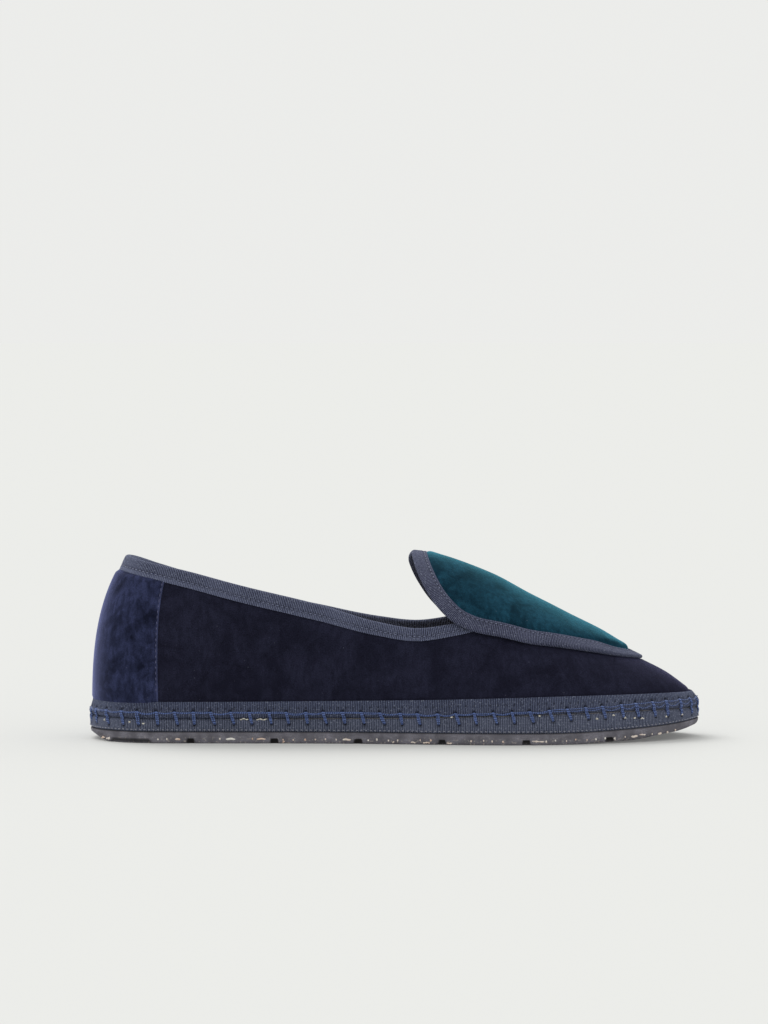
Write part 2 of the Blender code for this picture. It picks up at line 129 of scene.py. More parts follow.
def unit(vectors: Array) -> Array:
    """The vectors at length 1."""
    return vectors / np.maximum(np.linalg.norm(vectors, axis=-1, keepdims=True), 1e-12)


def arc_length(points: Array) -> Array:
    """Length along a row of points, from 0 at the first.

    Args:
        points: Points, (n, 2) or (n, 3).

    Returns:
        The n running lengths.
    """
    return np.concatenate([[0.0], np.cumsum(np.linalg.norm(np.diff(points, axis=0), axis=-1))])


@dataclass(frozen=True)
class Last:
    """The surface of the upper, the same function as the solids'."""

    length: float = 254 * MM
    inset: float = 2.3 * MM
    wall: float = 2.0 * MM
    gap: float = 0.3 * MM
    tape: float = 0.5 * MM
    rubber: float = 4.8 * MM
    heel_cap: float = 30 * MM
    heel_power: float = 2.2
    toe_cap: float = 175 * MM
    plan_steps: int = 72
    columns: tuple[str, ...] = (
        *("station", "lateral", "medial", "axis", "seam", "lift"),
        *("ridge_x", "ridge", "rise", "swell", "topline", "drop"),
    )
    sections: tuple[tuple[float, ...], ...] = (
        (0, 28.0, 28.0, 0.0, 9.8, 0.0, 63.3, 100.0, 2.80, 2.00, 75.9, 0.0),
        (30, 30.5, 29.5, 0.0, 9.8, 0.0, 70.0, 97.5, 2.75, 2.00, 71.4, 2.6),
        (62, 31.0, 27.8, 0.0, 9.9, 0.0, 81.0, 93.5, 2.60, 2.00, 64.3, 3.4),
        (95, 32.0, 26.8, 0.4, 10.2, 0.0, 99.0, 88.4, 2.40, 2.00, 57.0, 2.6),
        (120, 35.0, 29.2, 1.2, 10.6, 0.0, 120.5, 81.0, 2.20, 2.00, 49.9, 0.6),
        (136, 38.0, 33.0, 1.9, 10.9, 0.0, 136.0, 75.4, 2.05, 1.95, 47.5, 0.0),
        (150, 40.8, 36.6, 2.6, 11.3, 0.0, 150.0, 71.2, 1.95, 1.90, 49.2, 0.0),
        (164, 43.0, 39.6, 3.3, 11.7, 0.0, 164.0, 65.8, 1.88, 1.85, 51.4, 0.2),
        (180, 44.3, 41.3, 4.1, 12.1, 0.0, 180.0, 58.4, 1.82, 1.80, 48.9, 0.0),
        (200, 44.2, 41.6, 5.0, 12.6, 0.1, 200.0, 48.1, 1.80, 1.80, 43.8, 0.0),
        (218, 43.0, 41.3, 5.7, 12.9, 0.7, 217.6, 38.3, 1.80, 1.80, 38.3, 0.0),
        (232, 42.0, 41.0, 6.1, 13.0, 1.4, 230.5, 31.8, 1.80, 1.80, 31.8, 0.0),
        (244, 41.0, 40.5, 6.4, 12.9, 2.3, 240.5, 26.3, 1.80, 1.80, 26.3, 0.0),
        (254, 40.0, 40.0, 6.5, 12.6, 3.3, 246.5, 21.5, 1.80, 1.80, 21.5, 0.0),
    )

    def column(self, name: str, station: Array) -> Array:
        """A column of the table, by cubic Hermite arcs through its rows.

        Args:
            name: The column's name.
            station: Distances from the back of the heel.

        Returns:
            The column there; the two powers are plain numbers, the rest metres.
        """
        rows = np.array(self.sections, float)
        at = rows[:, 0] * MM
        value = rows[:, self.columns.index(name)] * (1.0 if name in ("rise", "swell") else MM)
        slope = np.gradient(value, at)
        station = np.clip(station, at[0], at[-1])
        i = np.clip(np.searchsorted(at, station, side="right") - 1, 0, len(at) - 2)
        span = at[i + 1] - at[i]
        t = (station - at[i]) / span
        rise = value[i] * (1 + 2 * t) * (1 - t) ** 2 + value[i + 1] * (3 - 2 * t) * t**2
        return rise + span * (slope[i] * t * (1 - t) ** 2 - slope[i + 1] * (1 - t) * t**2)

    def station(self, theta: Array) -> Array:
        """The station at theta: length * (1 - cos theta) / 2."""
        return self.length * (1 - np.cos(theta)) / 2

    def theta(self, station: Array) -> Array:
        """The lateral theta of a station."""
        return np.arccos(np.clip(1 - 2 * np.asarray(station) / self.length, -1, 1))

    def sole_edge(self, theta: Array) -> Array:
        """Plan points of the sole's edge: half widths of the table, rounded off at heel and toe.

        Args:
            theta: Angles round the outline.

        Returns:
            Points, (..., 2).
        """
        station = self.station(theta)
        lateral = np.sin(theta) >= 0
        width = np.where(lateral, self.column("lateral", station), self.column("medial", station))
        width = width * rounding(self.heel_cap - station, self.heel_cap, self.heel_power, 1 / self.heel_power)
        width = width * rounding(station - self.toe_cap, self.length - self.toe_cap, 2.0, 0.5)
        side = np.where(lateral, -1.0, 1.0)
        return np.stack([station, self.column("axis", station) + side * width], axis=-1)

    def origin(self) -> Array:
        """The frame's origin in the last's own coordinates: the middle of length and width."""
        edge = self.sole_edge(np.linspace(0, 2 * math.pi, self.plan_steps, endpoint=False))
        return np.array([self.length / 2, (edge[:, 1].min() + edge[:, 1].max()) / 2, 0.0])

    def plan(self, theta: Array, grow: Array | float = 0.0) -> Array:
        """The upper's sole line in plan, moved outwards along its normal.

        Args:
            theta: Angles round the outline.
            grow: Distance outwards.

        Returns:
            Points, (..., 2).
        """
        along = self.sole_edge(theta + STEP) - self.sole_edge(theta - STEP)
        normal = unit(np.stack([along[..., 1], -along[..., 0]], axis=-1))
        return self.sole_edge(theta) + normal * np.asarray(grow - self.inset)[..., None]

    def seam(self, theta: Array) -> Array:
        """Height of the seam between the two tapes."""
        return self.column("seam", self.station(theta))

    def sole_line(self, theta: Array) -> Array:
        """Height of the upper's lower edge."""
        return self.seam(theta) + 2 * self.gap + self.tape

    def tread(self, theta: Array) -> Array:
        """Height of the sole's lower face, which leaves the floor at the toe."""
        return np.maximum(self.column("lift", self.station(theta)), 0)

    def surface(self, theta: Array, phi: Array) -> Array:
        """The outside of the upper.

        In plan a point moves from the sole line to the ridge as 1 - cos(phi)^(2 / swell), and it
        rises from one to the other as sin(phi)^(2 / rise).

        Args:
            theta: Angles round the outline.
            phi: Angles over the section.

        Returns:
            Points, (..., 3).
        """
        theta, phi = np.broadcast_arrays(np.asarray(theta, float), np.asarray(phi, float))
        over = phi > math.pi / 2
        theta = np.where(over, -theta, theta)
        phi = np.where(over, math.pi - phi, phi)
        station = self.station(theta)
        out = np.clip(np.cos(phi), 0, 1) ** (2 / self.column("swell", station))
        up = np.clip(np.sin(phi), 0, 1) ** (2 / self.column("rise", station))
        base = self.sole_line(theta)
        ridge_x = self.column("ridge_x", station)
        ridge = np.stack([ridge_x, self.column("axis", ridge_x)], axis=-1)
        plan = self.plan(theta) * out[..., None] + ridge * (1 - out[..., None])
        height = base + (self.column("ridge", station) - base) * up
        return np.concatenate([plan, height[..., None]], axis=-1)

    def tangents(self, theta: Array, phi: Array) -> tuple[Array, Array]:
        """The surface's change along theta and along phi, by central differences.

        Args:
            theta: Angles round the outline.
            phi: Angles over the section. Beside the ridge's two end points they are moved off them.

        Returns:
            The two tangents, each (..., 3).
        """
        theta, phi = np.broadcast_arrays(np.asarray(theta, float), np.asarray(phi, float))
        at_end = np.abs(np.sin(theta)) < 1e-3
        phi = np.where(at_end & (np.abs(phi - math.pi / 2) < 0.02), math.pi / 2 - 0.02, phi)
        around = (self.surface(theta + STEP, phi) - self.surface(theta - STEP, phi)) / (2 * STEP)
        over = (self.surface(theta, phi + STEP) - self.surface(theta, phi - STEP)) / (2 * STEP)
        return around, over

    def normal(self, theta: Array, phi: Array) -> Array:
        """The surface's outward normal."""
        return unit(np.cross(*self.tangents(theta, np.maximum(phi, STEP))))

    def held_off(self, theta: Array, phi: Array, lift: Array | float) -> Array:
        """Points at a distance from the surface, along its normal.

        Args:
            theta: Angles round the outline.
            phi: Angles over the section.
            lift: Distance outwards; below 0 is inside the shoe.

        Returns:
            Points, (..., 3).
        """
        theta, phi, lift = np.broadcast_arrays(theta, phi, lift)
        phi = np.maximum(phi, STEP)
        return self.surface(theta, phi) + self.normal(theta, phi) * lift[..., None]

    def angle_at(self, theta: Array, height: Array) -> Array:
        """The phi at which a section reaches a height.

        Args:
            theta: Angles round the outline.
            height: Heights above the floor.

        Returns:
            Angles from 0 to pi/2.
        """
        station = self.station(theta)
        base = self.sole_line(theta)
        share = np.clip((height - base) / (self.column("ridge", station) - base), 0, 1)
        return np.arcsin(share ** (self.column("rise", station) / 2))

    def topline(self, theta: Array) -> Array:
        """Height of the collar's and throat's edge, lower on the medial side by the drop."""
        drop = np.where(np.sin(theta) < 0, self.column("drop", self.station(theta)), 0.0)
        return self.column("topline", self.station(theta)) - drop

    def sidestep(self, theta: Array, phi: Array, ahead: Lines, width: Array | float) -> Lines:
        """Moves points to the left of a path while they stay on the surface, in three short steps.

        Each step solves the 2 by 2 system of the tangents' dot products for the change of angles.

        Args:
            theta: The path's theta.
            phi: The path's phi.
            ahead: The path's direction, as changes of theta and phi.
            width: Distance to the left.

        Returns:
            The moved theta and phi.
        """
        theta, phi, width = np.broadcast_arrays(theta, phi, width)
        for _ in range(3):
            around, over = self.tangents(theta, phi)
            forward = unit(around * ahead[0][..., None] + over * ahead[1][..., None])
            aside = np.cross(unit(np.cross(around, over)), forward) * (width / 3)[..., None]
            aa, ab, bb = (np.sum(p * q, axis=-1) for p, q in ((around, around), (around, over), (over, over)))
            da, db = np.sum(around * aside, axis=-1), np.sum(over * aside, axis=-1)
            area = aa * bb - ab * ab
            theta = theta + (bb * da - ab * db) / area
            phi = phi + (aa * db - ab * da) / area
        return theta, phi


LAST = Last()
ORIGIN = LAST.origin()


def grid_quads(shape: tuple[int, int], wrap: tuple[bool, bool] = (False, False), start: int = 0) -> Faces:
    """Quads between the neighbours of a grid.

    Args:
        shape: Rows and columns.
        wrap: Whether the last row joins the first, and the last column the first.
        start: Number of the grid's first point.

    Returns:
        Point numbers, (n, 4).
    """
    rows, columns = shape
    last = (rows if wrap[0] else rows - 1, columns if wrap[1] else columns - 1)
    r, c = np.meshgrid(np.arange(last[0]), np.arange(last[1]), indexing="ij")
    corners = ((r, c), (r, c + 1), (r + 1, c + 1), (r + 1, c))
    return start + np.stack([(i % rows) * columns + j % columns for i, j in corners], axis=-1).reshape(-1, 4)


def grid_map(u: Array, v: Array) -> Array:
    """The surface map of a grid's quads: u from the rows, v from the columns.

    Args:
        u: One value per row, and one more where the rows wrap.
        v: One value per column, and one more where the columns wrap.

    Returns:
        Corner coordinates, (n, 4, 2), in the order of grid_quads.
    """
    r, c = np.meshgrid(np.arange(len(u) - 1), np.arange(len(v) - 1), indexing="ij")
    corners = ((r, c), (r, c + 1), (r + 1, c + 1), (r + 1, c))
    return np.stack([np.stack([u[i], v[j]], axis=-1) for i, j in corners], axis=-2).reshape(-1, 4, 2)


def lay_mesh(name: str, points: Array, quads: Faces, surface: Array, marks: Marks | None = None) -> Piece:
    """Puts arrays into a mesh, joins points that coincide, and turns the faces outwards.

    Args:
        name: The piece's name.
        points: Points in the last's coordinates, (..., 3).
        quads: Point numbers of the faces, (n, 4).
        surface: The surface map at each face corner, (n, 4, 2).
        marks: Named numbers, one for each point.

    Returns:
        The new object, at the origin.
    """
    place = points.reshape(-1, 3) - ORIGIN
    mesh = bpy.data.meshes.new(name)
    mesh.vertices.add(len(place))
    mesh.vertices.foreach_set("co", place.astype(np.float32).ravel())
    mesh.loops.add(quads.size)
    mesh.loops.foreach_set("vertex_index", quads.astype(np.int32).ravel())
    mesh.polygons.add(len(quads))
    mesh.polygons.foreach_set("loop_start", np.arange(0, quads.size, 4, dtype=np.int32))
    mesh.update(calc_edges=True)
    mesh.uv_layers.new(name="surface").data.foreach_set("uv", surface.astype(np.float32).ravel())
    for mark, values in (marks or {}).items():
        each = np.broadcast_to(values, points.shape[:-1]).astype(np.float32).ravel()
        mesh.attributes.new(mark, "FLOAT", "POINT").data.foreach_set("value", each)
    work = bmesh.new()
    work.from_mesh(mesh)
    bmesh.ops.remove_doubles(work, verts=work.verts, dist=WELD)
    bmesh.ops.recalc_face_normals(work, faces=work.faces)
    work.to_mesh(mesh)
    work.free()
    mesh.shade_smooth()
    mesh.set_sharp_from_angle(angle=SHARP)
    piece = bpy.data.objects.new(name, mesh)
    bpy.context.scene.collection.objects.link(piece)
    return piece


def lay_plate(name: str, faces: tuple[Array, Array], run: tuple[Array, Array], edge: Array) -> Piece:
    """A closed plate between two grids.

    Args:
        name: The piece's name.
        faces: The outer and the inner face, each (rows, columns, 3).
        run: The surface map's values along rows and along columns.
        edge: A painted highlight where the nap catches the light, 0 to 1, for both faces, (2, rows, columns).

    Returns:
        The new object.
    """
    shape = faces[0].shape[:2]
    count = shape[0] * shape[1]
    number = np.arange(count).reshape(shape)
    border = np.concatenate([number[0], number[1:, -1], number[-1, -2::-1], number[-2:0:-1, 0]])
    following = np.roll(border, -1)
    strip = np.stack([border, following, following + count, border + count], axis=-1)
    quads = np.concatenate([grid_quads(shape), grid_quads(shape, start=count), strip])
    face = grid_map(*run)
    surface = np.concatenate([face, face, np.zeros((len(strip), 4, 2))])
    return lay_mesh(name, np.stack(faces), quads, surface, {"edge": edge})


def lay_strands(name: str, lines: Lines, radius: Array, sides: int, bulge: float = 0.0) -> Piece:
    """Round tubes along many paths at once, each closed to a point at both ends.

    A ring's point is path + radius * (1 + bulge * cos(2 * angle - twist)) * (normal * cos(angle) +
    side * sin(angle)), where side is the tangent crossed with the normal.

    Args:
        name: The piece's name.
        lines: The centre lines, (k, n, 3), and the directions away from the surface there.
        radius: The radius along a path, (n,) or (k, n).
        sides: Points of a ring.
        bulge: How far the twist of two plies stands out.

    Returns:
        The new object.
    """
    paths, normals = lines
    count, rings = paths.shape[:2]
    along = unit(np.gradient(paths, axis=1))
    side = unit(np.cross(along, normals))
    up = np.cross(side, along)
    run = np.cumsum(np.linalg.norm(np.diff(paths, axis=1, prepend=paths[:, :1]), axis=-1), axis=1)
    angle = np.linspace(0, 2 * math.pi, sides, endpoint=False)
    twist = run[..., None] * 2 * math.pi / PLY_TURN
    size = np.broadcast_to(radius, (count, rings))[..., None] * (1 + bulge * np.cos(2 * angle - twist))
    ring = up[:, :, None] * np.cos(angle)[:, None] + side[:, :, None] * np.sin(angle)[:, None]
    points = paths[:, :, None] + ring * size[..., None]
    one = grid_quads((rings, sides), (False, True))
    quads = (one[None] + (np.arange(count) * rings * sides)[:, None, None]).reshape(-1, 4)
    surface = np.tile(grid_map(run.mean(axis=0), np.linspace(0, 1, sides + 1) * 2 * MM), (count, 1, 1))
    return lay_mesh(name, points, quads, surface)


def fit_on(piece: Piece, material: Material, slot: Slot, *nodes: str) -> None:
    """Gives a piece its finish, lets it ride on the shoe's one body, and hides the plain solids that it
    replaces.

    Args:
        piece: The new piece.
        material: Its finish.
        slot: Not used.
        nodes: The plain solids that it replaces.
    """
    piece.data.materials.append(material)
    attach(piece, "root")
    if nodes:
        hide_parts(*nodes)
    log.info("%s: %d faces", piece.name, len(piece.data.polygons))


def thicken(centre: Array, thickness: float, ends: int = 3) -> tuple[Array, Array]:
    """The closed outline of a strip seen from its end: its centre line, offset both ways, with round ends.

    Args:
        centre: The centre line, (n, 2), evenly divided.
        thickness: The strip's thickness.
        ends: Points of each round end.

    Returns:
        The outline's points, (m, 2), and the distance along the centre line at each, (m + 1).
    """
    along = unit(np.gradient(centre, axis=0))
    normal = np.stack([-along[:, 1], along[:, 0]], axis=-1)
    run = arc_length(centre)
    turn = np.linspace(0, math.pi, ends + 2)[1:-1, None]
    half = thickness / 2
    far = centre[-1] + half * (normal[-1] * np.cos(turn) + along[-1] * np.sin(turn))
    near = centre[0] - half * (normal[0] * np.cos(turn) + along[0] * np.sin(turn))
    points = np.concatenate([centre + normal * half, far, (centre - normal * half)[::-1], near])
    distance = np.concatenate([run, np.full(ends, run[-1]), run[::-1], np.zeros(ends), [0.0]])
    return points, distance


def divide(corners: Array, spacing: float) -> Array:
    """A smooth line through a few corners, divided evenly.

    The corners are joined by straight runs, divided, and then smoothed by three rounds of averaging
    each point with its neighbours.

    Args:
        corners: The line's corners, (n, 2).
        spacing: The distance between points.

    Returns:
        Points, (m, 2).
    """
    run = arc_length(corners)
    at = np.linspace(0, run[-1], max(int(run[-1] / spacing), 4))
    line = np.stack([np.interp(at, run, corners[:, k]) for k in range(2)], axis=-1)
    for _ in range(3):
        line[1:-1] = (line[:-2] + 2 * line[1:-1] + line[2:]) / 4
    return line


class Recipe:
    """A material's nodes, added one by one round a Principled shader."""

    def __init__(self, name: str, **settings: float | Colour) -> None:
        """Starts a material.

        Args:
            name: The material's name.
            settings: Values set on the shader's own sockets, with underscores for spaces.
        """
        self.material = bpy.data.materials.new(name)
        self.material.use_nodes = True
        self.nodes = self.material.node_tree.nodes
        self.links = self.material.node_tree.links
        self.shader = self.nodes["Principled BSDF"]
        self.feed(self.shader, {key.replace("_", " "): value for key, value in settings.items()})

    def feed(self, node: bpy.types.Node, sockets: dict) -> None:
        """Sets or links a node's inputs.

        Args:
            node: The node.
            sockets: By input name or number, a value or another node's output.
        """
        for key, value in sockets.items():
            socket = node.inputs[key]
            if isinstance(value, bpy.types.NodeSocket):
                self.links.new(value, socket)
            elif isinstance(value, tuple) and len(value) == 3 and socket.type == "RGBA":
                socket.default_value = (*value, 1.0)
            else:
                socket.default_value = value

    def add(self, kind: str, sockets: dict, output: int | str = 0, **properties: str) -> Socket:
        """Adds a node.

        Args:
            kind: The node's type, without ShaderNode.
            sockets: Its inputs.
            output: Which output to give back.
            properties: The node's own settings.

        Returns:
            The chosen output.
        """
        node = self.nodes.new("ShaderNode" + kind)
        for key, value in properties.items():
            setattr(node, key, value)
        self.feed(node, sockets)
        return node.outputs[output]

    def place(self, pattern: Pattern) -> Socket:
        """The coordinates that a pattern lies on."""
        return self.add("TexCoord", {}, pattern.value)

    def mark(self, name: str) -> Socket:
        """One of the numbers that a piece's points carry."""
        return self.add("Attribute", {}, "Fac", attribute_name=name)

    def split(self, vector: Socket, axis: int) -> Socket:
        """One coordinate of a vector."""
        return self.add("SeparateXYZ", {0: vector}, axis)

    def stretch(self, vector: Socket, scale: Colour) -> Socket:
        """Coordinates scaled along each axis, so that a pattern becomes long where the scale is small."""
        return self.add("VectorMath", {0: vector, 1: scale}, operation="MULTIPLY")

    def sum(self, kind: str, a: Socket | float, b: Socket | float = 0.0) -> Socket:
        """One step of arithmetic, such as ADD, MULTIPLY or SINE."""
        return self.add("Math", {0: a, 1: b}, operation=kind)

    def noise(self, vector: Socket, size: float, detail: float = 2.0, warp: float = 0.0) -> Socket:
        """Cloudy noise, 0 to 1, whose clouds have about this size in metres."""
        return self.add("TexNoise", {"Vector": vector, "Scale": 1 / size, "Detail": detail, "Distortion": warp})

    def spread(self, value: Socket, span: Pair, to: Pair = (0.0, 1.0)) -> Socket:
        """Stretches one range of numbers over another, clipped."""
        ends = {"From Min": span[0], "From Max": span[1], "To Min": to[0], "To Max": to[1]}
        return self.add("MapRange", {"Value": value, **ends})

    def waves(self, coordinate: Socket, period: float, shift: Socket | float = 0.0) -> Socket:
        """Half of 1 plus the sine of a coordinate, once for each period."""
        phase = self.sum("ADD", self.sum("MULTIPLY", coordinate, 2 * math.pi / period), shift)
        return self.spread(self.sum("SINE", phase), (-1, 1))

    def mix(self, share: Socket, a: Socket | Colour, b: Socket | Colour) -> Socket:
        """A mix of two colours."""
        return self.add("Mix", {0: share, 6: a, 7: b}, 2, data_type="RGBA")

    def cover(self, tone: Tone, cloud: Socket, span: Pair, colour: Tone, shares: Pair = (0.0, 1.0)) -> Socket:
        """Lays a colour over a tone, by a share that follows a cloud from one end of the span to the other."""
        return self.mix(self.spread(cloud, span, shares), tone, colour)

    def finish(self, colour: Socket, *reliefs: tuple[Socket, float, float]) -> Material:
        """Joins colour and relief to the shader.

        Args:
            colour: The base colour.
            reliefs: From coarse to fine: the relief, 0 to 1, its depth in metres, and how much of it shows.

        Returns:
            The material.
        """
        under: dict[str, Socket] = {}
        for height, depth, strength in reliefs:
            sockets = {"Height": height, "Distance": depth, "Strength": strength}
            under = {"Normal": self.add("Bump", {**sockets, **under})}
        self.feed(self.shader, {"Base Color": colour, **under})
        return self.material


@dataclass(frozen=True)
class Velvet:
    """Cut pile with a brushed nap: dark where one looks into it, lighter at grazing angles."""

    name: str
    deep: Colour
    brushed: Colour
    sheen: float
    glint: Colour
    pile: float = 0.32 * MM
    lint: Colour = (0.30, 0.32, 0.40)

    def make(self) -> Material:
        """Lays brush marks, streaks, pile and lint over each other on Object coordinates.

        Returns:
            The material, with a painted highlight where the mark named edge is.
        """
        sheen = {"Sheen_Weight": self.sheen, "Sheen_Roughness": 0.32, "Sheen_Tint": self.glint}
        r = Recipe(self.name, Roughness=0.95, Specular_IOR_Level=0.05, **sheen)
        place = r.place(Pattern.PLACE)
        brush = r.noise(place, 19 * MM, 4.0, 1.2)
        patch = r.noise(place, 6.5 * MM, 3.0, 0.8)
        streak = r.noise(r.stretch(place, (1.0, 1.0, 0.35)), 1.9 * MM, 3.0, 0.3)
        pile = r.noise(place, self.pile, 2.0)
        tone = r.cover(self.deep, brush, (0.40, 0.62), self.brushed)
        tone = r.cover(tone, patch, (0.42, 0.62), self.brushed, (0.0, 0.6))
        tone = r.cover(tone, streak, (0.42, 0.62), self.deep, (0.0, 0.55))
        tone = r.cover(tone, pile, (0.3, 0.72), (0.0, 0.0, 0.0), (0.6, 0.0))
        # Painted highlight: the glint colour is laid over the tone where the mark named edge is.
        tone = r.cover(tone, r.mark("edge"), (0.0, 1.0), self.glint, (0.0, 0.35))
        tone = r.cover(tone, r.noise(place, 0.8 * MM, 0.0), (0.86, 0.92), self.lint, (0.0, 0.2))
        return r.finish(tone, (brush, 0.5 * MM, 0.25), (streak, 0.25 * MM, 0.3), (pile, 0.22 * MM, 0.55))


@dataclass(frozen=True)
class Grosgrain:
    """Ribbed tape: cross ribs along the surface map's first direction."""

    name: str
    valley: Colour
    crest: Colour
    rib: float = 0.72 * MM
    # Painted glint colour for small light specks on the threads.
    speck: Colour = (0.30, 0.33, 0.42)
    # Painted shade colour for stitch grooves and needle holes.
    hole: Colour = (0.004, 0.004, 0.006)

    def make(self) -> Material:
        """Lays ribs, yarn, mottling and painted glints on the threads over each other.

        Returns:
            The material, lighter by the mark named hem, and with painted shade where the mark named pit is.
        """
        sheen = {"Sheen_Weight": 0.25, "Sheen_Roughness": 0.4, "Sheen_Tint": (0.42, 0.48, 0.70)}
        r = Recipe(self.name, Roughness=0.85, Specular_IOR_Level=0.12, **sheen)
        surface = r.place(Pattern.SURFACE)
        stray = r.sum("MULTIPLY", r.noise(surface, 2.2 * MM, 2.0), 2.6)
        ribs = r.waves(r.split(surface, 0), self.rib, stray)
        fuzz = r.sum("MULTIPLY", r.noise(surface, 0.7 * MM, 1.0), 5.0)
        yarn = r.waves(r.split(surface, 1), 0.42 * MM, fuzz)
        cloth = r.sum("MULTIPLY", r.spread(ribs, (0.15, 0.85)), r.spread(yarn, (0, 1), (0.45, 1.0)))
        mottle = r.noise(surface, 1.1 * MM, 3.0)
        patch = r.noise(r.place(Pattern.PLACE), 14 * MM, 3.0)
        tone = r.mix(cloth, self.valley, self.crest)
        tone = r.cover(tone, mottle, (0.40, 0.70), self.valley, (0.0, 0.32))
        tone = r.cover(tone, patch, (0.4, 0.72), self.crest, (0.0, 0.16))
        # Painted glints: small light specks on the threads.
        tone = r.cover(tone, r.noise(surface, 0.62 * MM, 0.0), (0.66, 0.74), self.speck, (0.0, 0.4))
        tone = r.cover(tone, r.mark("hem"), (0.0, 1.0), self.crest, (0.0, 0.34))
        # Painted shade in the stitch grooves and needle holes, by the mark named pit.
        tone = r.mix(r.mark("pit"), tone, self.hole)
        return r.finish(tone, (mottle, 0.2 * MM, 0.4), (cloth, 0.2 * MM, 0.9))


@dataclass(frozen=True)
class Cotton:
    """Plain woven cotton: two crossing sets of yarns on the surface map."""

    name: str
    shade: Colour
    light: Colour
    pitch: float = 0.62 * MM

    def make(self) -> Material:
        """Mixes the weave, light where both or neither yarn is up, with slubs and a little soiling.

        Returns:
            The material.
        """
        r = Recipe(self.name, Roughness=0.92, Specular_IOR_Level=0.15, Sheen_Weight=0.2, Sheen_Roughness=0.5)
        surface = r.place(Pattern.SURFACE)
        slub = r.sum("MULTIPLY", r.noise(surface, 3 * MM, 2.0), 3.0)
        yarns = [r.waves(r.split(surface, axis), self.pitch, slub) for axis in (0, 1)]
        gaps = [r.sum("SUBTRACT", 1.0, yarn) for yarn in yarns]
        weave = r.spread(r.sum("ADD", r.sum("MULTIPLY", *yarns), r.sum("MULTIPLY", *gaps)), (0, 1))
        soil = r.noise(r.place(Pattern.PLACE), 21 * MM, 4.0)
        tone = r.cover(r.mix(weave, self.shade, self.light), soil, (0.42, 0.75), self.shade, (0.0, 0.4))
        return r.finish(tone, (soil, 0.4 * MM, 0.3), (weave, 0.16 * MM, 0.7))


@dataclass(frozen=True)
class TyreRubber:
    """Dark rubber cut from corded sheet: dull, dusty, with pale and rust flecks in it."""

    name: str
    dark: Colour
    dusty: Colour
    fleck: Colour = (0.50, 0.44, 0.38)
    # Painted shade colour, laid where the mark named pit is.
    hollow: Colour = (0.014, 0.013, 0.014)

    def make(self) -> Material:
        """Lays dust, grain, scuffs and flecks over each other, the flecks mostly near the floor.

        Returns:
            The material, with painted shade where the mark named pit is.
        """
        r = Recipe(self.name, Roughness=0.88, Specular_IOR_Level=0.16)
        place = r.place(Pattern.PLACE)
        grain = r.noise(place, 0.35 * MM, 3.0)
        scuff = r.noise(r.stretch(place, (1.0, 1.0, 5.0)), 2.4 * MM, 3.0, 0.4)
        tone = r.cover(self.dark, r.noise(place, 5 * MM, 4.0, 0.5), (0.35, 0.7), self.dusty)
        tone = r.cover(tone, grain, (0.38, 0.66), self.dark, (0.0, 0.6))
        tone = r.cover(tone, scuff, (0.45, 0.68), self.dark, (0.0, 0.45))
        low = r.spread(r.split(place, 2), (3.4 * MM, 0.4 * MM), (0.05, 0.45))
        fleck = r.spread(r.noise(place, 0.8 * MM, 0.0), (0.64, 0.7))
        tone = r.mix(r.sum("MULTIPLY", fleck, low), tone, self.fleck)
        # Painted shade in grooves, notches, tread and under the tape, by the mark named pit.
        tone = r.mix(r.mark("pit"), tone, self.hollow)
        return r.finish(tone, (scuff, 0.3 * MM, 0.5), (grain, 0.2 * MM, 0.7))


@dataclass(frozen=True)
class Yarn:
    """Sewing thread of two plies: painted light and shade run diagonally round it."""

    name: str
    dark: Colour
    light: Colour
    lay: float = 0.9 * MM

    def make(self) -> Material:
        """Runs the painted light and shade of the plies as a wave of the sum of both map directions, and dulls
        them with fuzz.

        Returns:
            The material.
        """
        r = Recipe(self.name, Roughness=0.6, Specular_IOR_Level=0.35, Sheen_Weight=0.3, Sheen_Roughness=0.4)
        surface = r.place(Pattern.SURFACE)
        ply = r.waves(r.sum("ADD", r.split(surface, 0), r.split(surface, 1)), self.lay)
        fuzz = r.noise(r.place(Pattern.PLACE), 0.5 * MM, 2.0)
        # dark and light are the thread's shaded and lit tones, painted in as the ply wave.
        tone = r.cover(r.mix(ply, self.dark, self.light), fuzz, (0.4, 0.75), self.dark, (0.0, 0.5))
        return r.finish(tone, (ply, 0.1 * MM, 0.8))


@dataclass(frozen=True)
class Plain:
    """A finish of two close tones in patches, for fluff, cord ends and the core."""

    name: str
    one: Colour
    other: Colour
    patch: float

    def make(self) -> Material:
        """Mixes the two tones by noise, with fine relief.

        Returns:
            The material.
        """
        r = Recipe(self.name, Roughness=0.9, Specular_IOR_Level=0.2)
        cloud = r.noise(r.place(Pattern.PLACE), self.patch, 3.0)
        return r.finish(r.cover(self.one, cloud, (0.35, 0.68), self.other), (cloud, 0.1 * MM, 0.4))


def made(kind: type, *values: str | float | Colour) -> Material:
    """A field that holds the material of one finish."""
    return field(default_factory=kind(*values).make)


